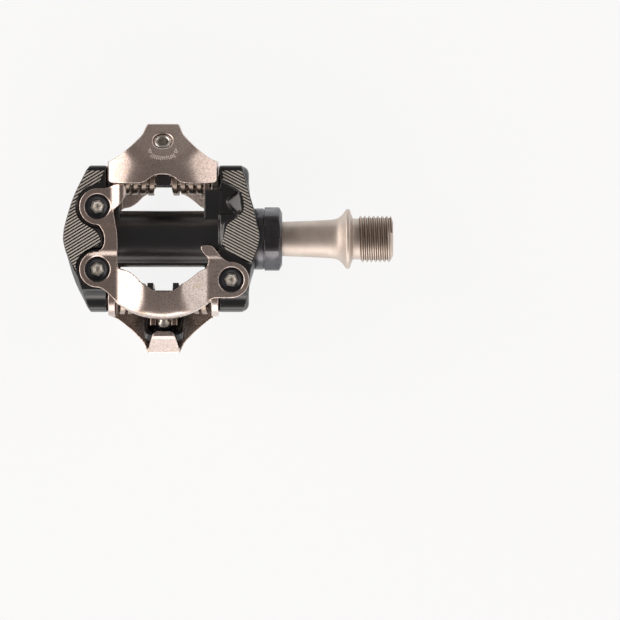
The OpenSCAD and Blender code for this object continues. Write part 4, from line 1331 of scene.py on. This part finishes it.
    def bolt_frame(self) -> Matrix:
        """The tension bolt's frame, with +Z out of the claw's outer face."""
        place = Matrix.Translation((0, self.bolt_y, self.tip.height(0, self.bolt_y)))
        return place @ Matrix.Rotation(-math.radians(self.tip_slope), 4, "X")

    def tension_marks(self, carrier: Piece) -> Piece:
        """The stamped scale below the tension bolt: a fan of ticks between two arrowheads.

        Args:
            carrier: The finished top claw, which the marks meet where the photograph shows them.

        Returns:
            The marks, laid on the plate's skin on the bench.
        """
        met = self.camera.meet(("left_arrowhead", "right_arrowhead", "scale_middle"), [carrier])
        left, right, middle = (Side.TOP.seat.inverted() @ place for place in met)
        slant = math.cos(math.radians(self.tip_slope))
        flat = Matrix.Diagonal((1, slant, 1, 1))
        reach = (self.bolt_y - middle.y) / slant
        marks = []
        for i in range(-6, 7):
            tick = Bench.block("tick", (-0.13, -reach - 0.7, 0), (0.13, 0.7 - reach, 1))
            fan = Matrix.Rotation(math.radians(5.0 * i), 4, "Z")
            tick.data.transform(Matrix.Translation((middle.x, self.bolt_y, 0)) @ flat @ fan)
            marks.append(tick)
        for place in (left, right):
            arrow = Bench.prism("arrow", [(-0.62, -0.85), (0.62, -0.85), (0, 1.0)], 0, 1)
            Bench.cut(arrow, Bench.prism("inside", [(-0.28, -0.61), (0.28, -0.61), (0, 0.24)], -1, 2))
            arrow.data.transform(Matrix.Translation((place.x, place.y, 0)) @ flat)
            marks.append(arrow)
        return Bench.pressed(Bench.joined("tension_marks", *marks), self.stamped)

    def stamped(self, place: Vector) -> tuple[float, float, float]:
        """Lays a place of the scale on the claw's skin: 0 is just under it, 1 just over it."""
        return (place.x, place.y, self.height(place.x, place.y) - 0.15 + 0.27 * place.z)

    def build(self) -> list[Piece]:
        """Makes and installs both rear claws and their scales."""
        claw = self.sheet()
        Bench.cut(claw, *self.ears(), self.tab(), operation="UNION")
        Bench.cut(claw, *self.holes())
        Bench.softened(claw, self.voxel, 4)
        claws = self.both_sides(claw, "claw", "claw_plate", "rear_claw")
        marks = self.both_sides(self.tension_marks(claws[0]), "claw", "claw_plate")
        # The scale gets the pale stamp colour, partly a painted highlight for light on the stamped slopes.
        for mark in marks:
            mark.data.materials[0] = self.finishes.stamp_and_highlight
        return claws + marks


# ---- springs, pin and tension screw ----------------------------------------------------------


@dataclass
class SpringPack(Assembly):
    """The two coil springs of each claw, their pin and the black spacer between them."""

    coil_y: float = 17.4
    width: float = 1.78
    outer_radius: float = 4.5
    inner_radius: float = 2.8
    corner: float = 0.4
    turns: int = 4
    inner: float = 3.1
    outer: float = 12.6
    steps: int = 40
    long_leg: tuple = ((0, 3.6, -1.0), (0, 3.2, -0.7), (0, 0.9, -0.1))
    short_leg: tuple = ((0, -4.4, -0.5), (0, -4.2, 0))

    def spring(self) -> Piece:
        """The inboard spring of squared wire: its coil, long leg to the bracket and short leg."""
        half, outer, inner, corner = self.width / 2, self.outer_radius, self.inner_radius, self.corner
        ring = arc((half - corner, outer - corner), corner, 90, 0, 3)
        ring += arc((half - corner, inner + corner), corner, 0, -90, 3)
        ring += arc((corner - half, inner + corner), corner, -90, -180, 3)
        ring += arc((corner - half, outer - corner), corner, 180, 90, 3)
        coil = Bench.loop("inboard_coil", ring)
        lead = (self.outer - self.inner) / self.turns
        Bench.modified(coil, "SCREW", axis="X", angle=2 * math.pi, screw_offset=lead, iterations=self.turns,
                       steps=self.steps, render_steps=self.steps, use_merge_vertices=False)
        with Bench.editing(coil):
            bpy.ops.mesh.remove_doubles(threshold=1e-4)
        Bench.spun(coil, 90, "X")
        for at, moves in ((0, self.long_leg), (lead * self.turns, self.short_leg)):
            self.leg(coil, at, moves)
        return Bench.shaded(Bench.outward(Bench.shifted(coil, self.inner, self.coil_y)), 40)

    @staticmethod
    def leg(coil: Piece, at: float, moves: Sequence[tuple[float, float, float]]) -> None:
        """Draws one end of the coil out into a straight leg.

        Args:
            coil: The coil round the X axis.
            at: Place of the end along X.
            moves: The leg's stretches, one after the other.
        """
        ends = [v.index for v in coil.data.vertices
                if abs(v.co.y) < 1e-3 and v.co.z > 0 and abs(v.co.x - at) < 1.05]
        for x, y, z in moves:
            Bench.take(coil)
            mesh = coil.data
            for group in (mesh.vertices, mesh.edges, mesh.polygons):
                group.foreach_set("select", [False] * len(group))
            chosen = set(ends)
            for face in mesh.polygons:
                face.select = chosen.issuperset(face.vertices)
            for index in ends:
                mesh.vertices[index].select = True
            for edge in mesh.edges:
                edge.select = chosen.issuperset(edge.vertices)
            bpy.context.tool_settings.mesh_select_mode = (False, True, False)
            bpy.ops.object.mode_set(mode="EDIT")
            bpy.ops.mesh.extrude_region_move(TRANSFORM_OT_translate={"value": (x, y, z)})
            bpy.ops.object.mode_set(mode="OBJECT")
            ends = [v.index for v in coil.data.vertices if v.select]

    def pin(self) -> Piece:
        """The pivot pin with chamfered ends."""
        r = PIN_RADIUS
        profile = [(-19.9, 0), (-19.9, r - 0.35), (-19.55, r), (24.55, r), (24.9, r - 0.35), (24.9, 0)]
        return Bench.shaded(Bench.shifted(Bench.turned("pivot_pin_steel", profile, 48), y=PIVOT_Y), 30)

    def spacer(self) -> Piece:
        """The saddle on the pin that keeps the springs apart."""
        y, drop = PIVOT_Y, 4.3
        blocks = [Bench.block("middle", (-2, y - 1.3, -drop - 1), (2, y + 3.4, drop - 0.2)),
                  Bench.block("base", (-4.6, y + 0.4, -drop - 1.2), (4.6, y + 3.4, -drop))]
        for way in (1, -1):
            low = way * 3.7 - 0.85
            blocks.append(Bench.block("prong", (low, y - 4, -drop - 1.2), (low + 1.7, y + 3.4, -drop)))
        spacer = blocks[0]
        Bench.cut(spacer, *blocks[1:], operation="UNION")
        Bench.cut(spacer, Bench.bar("pin_hole", PIN_RADIUS + 0.02, -9, 9, y))
        Bench.bevelled(spacer, 0.25, 2, 50)
        return Bench.shaded(Bench.joined("spring_spacer_black", spacer), 35)

    def build(self) -> list[Piece]:
        """Makes and installs the springs, pins and spacers of both sides."""
        inboard = self.spring()
        outboard = Bench.copied(inboard)
        outboard.name = "outboard_coil"
        outboard.data.transform(Matrix.Scale(-1, 4, (1, 0, 0)))
        Bench.outward(outboard)
        placed = self.both_sides(inboard, "pedal_body", "spring_wire", "inboard_spring")
        placed += self.both_sides(outboard, "pedal_body", "spring_wire", "outboard_spring")
        placed += self.both_sides(self.pin(), "pedal_body", "pin_steel", "pivot_pin")
        return placed + self.both_sides(self.spacer(), "pedal_body", "black_resin", "spring_spacer")


@dataclass
class TensionScrew(Assembly):
    """The bolt in the claw's tip and the bracket that rides on it, drawn in the bolt's frame."""

    claw: RearClaw
    head_radius: float = 2.35
    shank_radius: float = 1.98
    reach: float = 8.0
    pitch: float = 0.7
    bracket_depth: float = 4.05
    bracket_base: float = 1.3
    gap: float = 8.5
    cheek: float = 1.4

    def bolt(self) -> Piece:
        """The bolt: a round head with a hexagon socket, and a threaded shank."""
        r, s = self.head_radius, self.shank_radius
        profile = [(-self.reach - 0.9, 0), (-self.reach - 0.9, 0.9), (-self.reach - 0.2, 1.5)]
        for i in range(int((self.reach - 3.3) / self.pitch)):
            x = -self.reach + i * self.pitch
            profile += [(x, s - 0.38), (x + 0.3, s), (x + 0.38, s), (x + 0.66, s - 0.38)]
        profile += [(-3.4, s - 0.13), (-0.95, s - 0.13), (-0.97, r - 0.1), (-0.92, r), (-0.5, r),
                    (-0.3, r - 0.22), (-0.3, 1.95), (-0.55, 1.7), (-0.55, 0)]
        bolt = Bench.spun(Bench.turned("tension_bolt_steel", profile, 56), -90, "Y")
        Bench.cut(bolt, Bench.hexagon("socket", 3.0, -2.9, 1))
        bolt.data.transform(self.claw.bolt_frame())
        return Bench.shaded(bolt, 30)

    def bracket(self) -> Piece:
        """The black bracket: a plate with a wall round three sides that holds the springs' legs."""
        half, floor = self.gap / 2 + self.cheek, -self.bracket_depth
        plate = floor - self.bracket_base
        cup = Bench.prism("tension_bracket_black", self.u_plan(half, 4.6, 1.9), plate - 1.4, floor)
        inner = [(x, y if y > 0 else y - 1) for x, y in self.u_plan(half - self.cheek, 3.4, 0.9)]
        Bench.cut(cup, Bench.prism("hollow", inner, plate - 4, plate))
        low, high = plate - 1.7, plate + 0.2
        boss = Bench.turned("boss", [(low, 0), (low, 2.7), (high, 2.9), (high, 0)], 40)
        hole = Bench.turned("hole", [(-30, 0), (-30, 2.02), (30, 2.02), (30, 0)], 56)
        Bench.cut(cup, Bench.spun(boss, -90, "Y"), operation="UNION")
        Bench.cut(cup, Bench.spun(hole, -90, "Y"))
        Bench.bevelled(cup, 0.22, 3, 40)
        cup.data.transform(self.claw.bolt_frame())
        return Bench.shaded(cup, 30)

    @staticmethod
    def u_plan(half: float, far: float, corner: float) -> Plan:
        """A plan with two round corners at its far side."""
        turn = arc((half - corner, far - corner), corner, 0, 90, 7)
        return [(half, -2.6), *turn, *mirrored(turn), (-half, -2.6)]

    def build(self) -> list[Piece]:
        """Makes and installs the bolts and brackets of both sides."""
        bolts = self.both_sides(self.bolt(), "bolt", "bolt_steel", "tension_bolt")
        return bolts + self.both_sides(self.bracket(), "bracket", "black_steel", "tension_bracket")


@dataclass
class Bearings(Assembly):
    """The CAD nodes inside the body, which keep their shape and get their finish."""

    def build(self) -> list[Piece]:
        """Dresses the nodes.

        Returns:
            No new pieces.
        """
        inside = {"bearing_cone": "bearing_steel", "lock_washer": "bearing_steel",
                  "cone_locknut": "bearing_steel", "inner_balls": "bearing_steel",
                  "outer_balls": "bearing_steel", "bearing_sleeve": "sleeve_alloy",
                  "plain_bush": "bush_resin", "axle_seal": "seal_rubber"}
        for node, slot in inside.items():
            self.finishes.dress_cad(node, slot)
        return []


# ---- camera, points, stage and light ---------------------------------------------------------


class Extent(Enum):
    """Which part of a piece an image point marks."""

    MIDDLE = "middle"
    LEFT = "left"
    RIGHT = "right"
    TOP = "top"
    BOTTOM = "bottom"


@dataclass(frozen=True)
class ImagePoint:
    """A named place in the photograph's frame, and the piece that shows there.

    Attributes:
        name: What it marks.
        x: Its column, or None where only the row counts.
        y: Its row, or None where only the column counts.
        piece: Name of the piece, or "" for the whole object.
        extent: Which part of the piece.
        near: Bench place that picks the vertices within reach of it, or None for all.
        reach: That distance in millimetres.
    """

    name: str
    x: Optional[float]
    y: Optional[float]
    piece: str = ""
    extent: Extent = Extent.MIDDLE
    near: Optional[tuple[float, float, float]] = None
    reach: float = 4.0


@dataclass
class PhotoCamera:
    """The camera of the photograph: a long lens straight above the top binding.

    Attributes:
        aim: The row frame's (x, y) in millimetres at the middle of the picture.
        distance: Height over the spindle axis in millimetres.
        scale: Picture elements for each millimetre at that height.
        size: The picture's width and height.
    """

    aim: tuple[float, float] = (-12.3, -20.7)
    distance: float = 1600.0
    scale: float = 3.43
    size: int = 620
    sensor: float = 36.0

    @property
    def lens(self) -> float:
        """Focal length that gives the scale at that distance."""
        return self.sensor * self.distance * self.scale / self.size

    @property
    def focal(self) -> float:
        """The lens's focal length in picture elements."""
        return self.size * self.lens / self.sensor

    def build(self) -> None:
        """Adds the camera and makes it the scene's."""
        data = bpy.data.cameras.new("photo_camera")
        data.sensor_fit = "AUTO"
        data.sensor_width = self.sensor
        data.lens = self.lens
        data.clip_start, data.clip_end = 0.05, 20
        camera = bpy.data.objects.new("photo_camera", data)
        camera.location = (self.aim[0] * MM, self.aim[1] * MM, self.distance * MM)
        bpy.context.scene.collection.objects.link(camera)
        bpy.context.scene.camera = camera

    def seen_at(self, place: Vector) -> tuple[float, float]:
        """Column and row at which a place in the row's frame shows."""
        depth = self.distance * MM - place.z
        span = self.focal / depth
        return (self.size / 2 + (place.x - self.aim[0] * MM) * span,
                self.size / 2 - (place.y - self.aim[1] * MM) * span)

    def meet(self, names: Sequence[str], carriers: Sequence[Piece]) -> list[Vector]:
        """Where the rays through image points meet the pieces, or come nearest to them.

        Args:
            names: The image points' names.
            carriers: The pieces, finished and placed.

        Returns:
            The places in the row's frame.
        """
        places, faces = [], []
        for piece in carriers:
            faces += [[len(places) + i for i in p.vertices] for p in piece.data.polygons]
            places += [v.co.copy() for v in piece.data.vertices]
        tree = BVHTree.FromPolygons(places, faces)
        start = Vector((*self.aim, self.distance)) * MM
        found = []
        points = {point.name: point for point in IMAGE_POINTS}
        for point in (points[name] for name in names):
            ray = Vector((point.x - self.size / 2, self.size / 2 - point.y, -self.focal)).normalized()
            hit = tree.ray_cast(start, ray)[0]
            if hit is None:
                hit = min(places, key=lambda place, ray=ray: (place - start).cross(ray).length)
            found.append(hit)
        return found


IMAGE_POINTS = (
    ImagePoint("outline_left", 62.7, None, "", Extent.LEFT),
    ImagePoint("outline_right", 393.0, None, "", Extent.RIGHT),
    ImagePoint("outline_top", None, 123.5, "", Extent.TOP),
    ImagePoint("outline_bottom", None, 353.0, "", Extent.BOTTOM),
    ImagePoint("back_screw", 97.2, 206.5, "top_claw_screws_black", Extent.MIDDLE, (-18.95, 9.3, 9.8)),
    ImagePoint("front_screw", 97.0, 269.3, "top_claw_screws_black", Extent.MIDDLE, (-18.95, -8.9, 9.8)),
    ImagePoint("inboard_screw", 231.1, 279.9, "top_claw_screws_black", Extent.MIDDLE, (19.85, -11.95, 9.8)),
    ImagePoint("tension_bolt", 162.9, 140.3, "top_tension_bolt_steel", Extent.MIDDLE, (0, 28.5, 8.5), 2.6),
    ImagePoint("flange_back", 347.4, 209.1, "spindle_steel", Extent.TOP, (53.6, 8.7, 0), 1.0),
    ImagePoint("flange_front", 347.4, 269.1, "spindle_steel", Extent.BOTTOM, (53.6, -8.7, 0), 1.0),
    ImagePoint("collar_left", 255.1, None, "lock_collar_black", Extent.LEFT, (28.2, 0, 8.9), 3.0),
    ImagePoint("collar_right", 282.2, None, "lock_collar_black", Extent.RIGHT),
    ImagePoint("hook_middle", 164.5, 291.9, "top_front_claw_plated", Extent.TOP, (0.2, -15.4, 15.8), 0.8),
    ImagePoint("finger_back", None, 245.3, "top_front_claw_plated", Extent.TOP, (12.8, -2.2, 10.9), 1.6),
    ImagePoint("tab_back", None, 183.9, "top_front_claw_plated", Extent.TOP, (-12.4, 15.2, 11.5), 2.0),
    ImagePoint("sprung_hook", 163.2, 174.3, "top_rear_claw_plated", Extent.BOTTOM, (0, 18.6, 14.2), 0.9),
    ImagePoint("left_arrowhead", 150.0, 150.4, "top_tension_marks", Extent.MIDDLE, (-3.63, 25.52, 10.9), 1.3),
    ImagePoint("right_arrowhead", 175.9, 150.4, "top_tension_marks", Extent.MIDDLE, (3.87, 25.52, 10.9), 1.3),
    ImagePoint("scale_middle", 162.9, 157.9, "top_tension_marks", Extent.MIDDLE, (0.1, 23.35, 12.3), 0.9),
)


def check_points(camera: PhotoCamera, pieces: dict[str, Piece]) -> None:
    """Works out how far each thing shows from its image point, and keeps none of it.

    Args:
        camera: The photograph's camera.
        pieces: The finished pieces by name.
    """
    for point in IMAGE_POINTS:
        chosen = [pieces[point.piece]] if point.piece else list(pieces.values())
        near = Side.TOP.seat @ Vector(point.near) if point.near else None
        seen = [camera.seen_at(v.co) for p in chosen for v in p.data.vertices
                if near is None or (v.co - near).length < point.reach * MM]
        if not seen:
            continue
        columns, lines = [s[0] for s in seen], [s[1] for s in seen]
        x, y = (min(columns) + max(columns)) / 2, (min(lines) + max(lines)) / 2
        x = {Extent.LEFT: min(columns), Extent.RIGHT: max(columns)}.get(point.extent, x)
        y = {Extent.TOP: min(lines), Extent.BOTTOM: max(lines)}.get(point.extent, y)
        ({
            "dx": None if point.x is None else round(x - point.x, 2),
            "dy": None if point.y is None else round(y - point.y, 2),
        })


@dataclass
class Studio:
    """A pale floor, a soft world and three soft lamps."""

    floor_z: float = -16.6
    floor_grey: float = 0.14
    lift: float = 0.86
    zenith: float = 0.17
    back: float = 0.20
    left: float = 1.75
    right: float = 0.12
    wings: float = 0.85
    front: float = 0.75
    low_front: float = 0.9

    def floor(self) -> None:
        """The pale floor under the pedal."""
        bpy.ops.object.select_all(action="DESELECT")
        bpy.ops.mesh.primitive_plane_add(size=6, location=(0, 0, self.floor_z * MM))
        floor = bpy.context.object
        floor.name = "studio_floor"
        g = Graph("floor_pale")
        speck = g.noise(40.0, 2)
        grey = self.floor_grey
        tone = g.blend(speck, (grey, grey, grey), (grey * 0.99, grey * 0.99, grey * 0.99))
        shader = g.node("ShaderNodeBsdfDiffuse", {}, {"Color": tone})
        path = g.node("ShaderNodeLightPath")
        seen = Value(g, path.outputs["Is Camera Ray"]) + Value(g, path.outputs["Is Glossy Ray"])
        seen = seen + Value(g, path.outputs["Is Transmission Ray"])
        glow = g.node("ShaderNodeEmission", {}, {"Color": (1, 1, 1, 1), "Strength": seen * self.lift})
        both = g.node("ShaderNodeAddShader", {}, {0: shader.outputs[0], 1: glow.outputs[0]})
        g.node("ShaderNodeOutputMaterial", {}, {0: both.outputs[0]})
        floor.data.materials.append(g.material)

    def world(self) -> None:
        """A world bright at the left and the front, paler at the right, and dark at the back and overhead."""
        world = bpy.data.worlds.new("studio_world")
        world.use_nodes = True
        g = Graph.of_tree(world.node_tree)
        split = g.node("ShaderNodeSeparateXYZ", {}, {0: g.node("ShaderNodeTexCoord").outputs["Generated"]})
        x, y, z = (Value(g, split.outputs[name]) for name in "XYZ")
        ring = (x * -1.0).between(0.65, 0.76) * self.left + x.between(0.25, 0.6) * self.right
        aside = x.between(0.3, 0.6) + (x * -1.0).between(0.62, 0.82) * 2.0
        aside = aside * y.between(0.1, 0.45) * (1.0 - y.between(0.6, 0.9))
        ring = ring + aside * self.wings + self.back
        ring = ring + (y * -1.0).between(0.05, 0.5) * self.front
        ring = ring + (y * -1.0).between(0.6, 0.95) * (1.0 - z.between(0.25, 0.5)) * self.low_front
        glow = ring + (self.zenith - ring) * z.between(0.40, 0.85)
        warm = z.between(0.40, 0.85).maths("MAXIMUM", y.between(0.68, 0.9) * 0.6)
        tint = g.blend(warm, (1.0, 0.99, 0.98), (1.0, 0.80, 0.70))
        background = g.node("ShaderNodeBackground", {}, {"Color": tint, "Strength": glow})
        g.node("ShaderNodeOutputWorld", {}, {0: background.outputs[0]})
        bpy.context.scene.world = world

    def lamp(self, name: str, place: tuple[float, float, float], size: float, power: float) -> None:
        """A soft square lamp that faces the pedal.

        Args:
            name: Its name.
            place: Its place in metres.
            size: Its side in metres.
            power: Its power in watts.
        """
        data = bpy.data.lights.new(name, "AREA")
        data.shape, data.size, data.energy = "SQUARE", size, power
        lamp = bpy.data.objects.new(name, data)
        lamp.location = place
        aim = Vector((PEDAL_MIDDLE * MM, 0, 0)) - Vector(place)
        lamp.rotation_euler = aim.to_track_quat("-Z", "Y").to_euler()
        bpy.context.scene.collection.objects.link(lamp)

    def build(self) -> None:
        """Sets up floor, world and lamps."""
        self.floor()
        self.world()
        self.lamp("front_panel", (-0.05, -0.9, 0.35), 0.7, 1.6)
        self.lamp("left_panel", (-0.95, 0.1, 0.45), 0.7, 1.6)
        self.lamp("right_panel", (0.9, 0.1, 0.45), 0.6, 0.7)
        bpy.context.scene.view_settings.view_transform = "Standard"


def main() -> None:
    """Builds the pedal's looks, the stage and the camera."""
    logging.basicConfig(level=logging.INFO, format="%(name)s: %(message)s")
    bpy.ops.object.select_all(action="DESELECT")
    camera = PhotoCamera()
    camera.build()
    finishes = Finishes()
    rear_claw = RearClaw(finishes, camera)
    assemblies = (Spindle(finishes), LockCollar(finishes), Bearings(finishes), BodyCasting(finishes),
                  GripRidges(finishes), FrontClaw(finishes), ClawScrews(finishes), rear_claw,
                  SpringPack(finishes), TensionScrew(finishes, rear_claw))
    pieces: dict[str, Piece] = {}
    for assembly in assemblies:
        made = assembly.build()
        pieces.update({piece.name: piece for piece in made})
        log.info("%s: %d pieces", type(assembly).__name__, len(made))
    Studio().build()
    bpy.context.view_layer.update()
    check_points(camera, pieces)


if __name__ == "__main__":
    main()
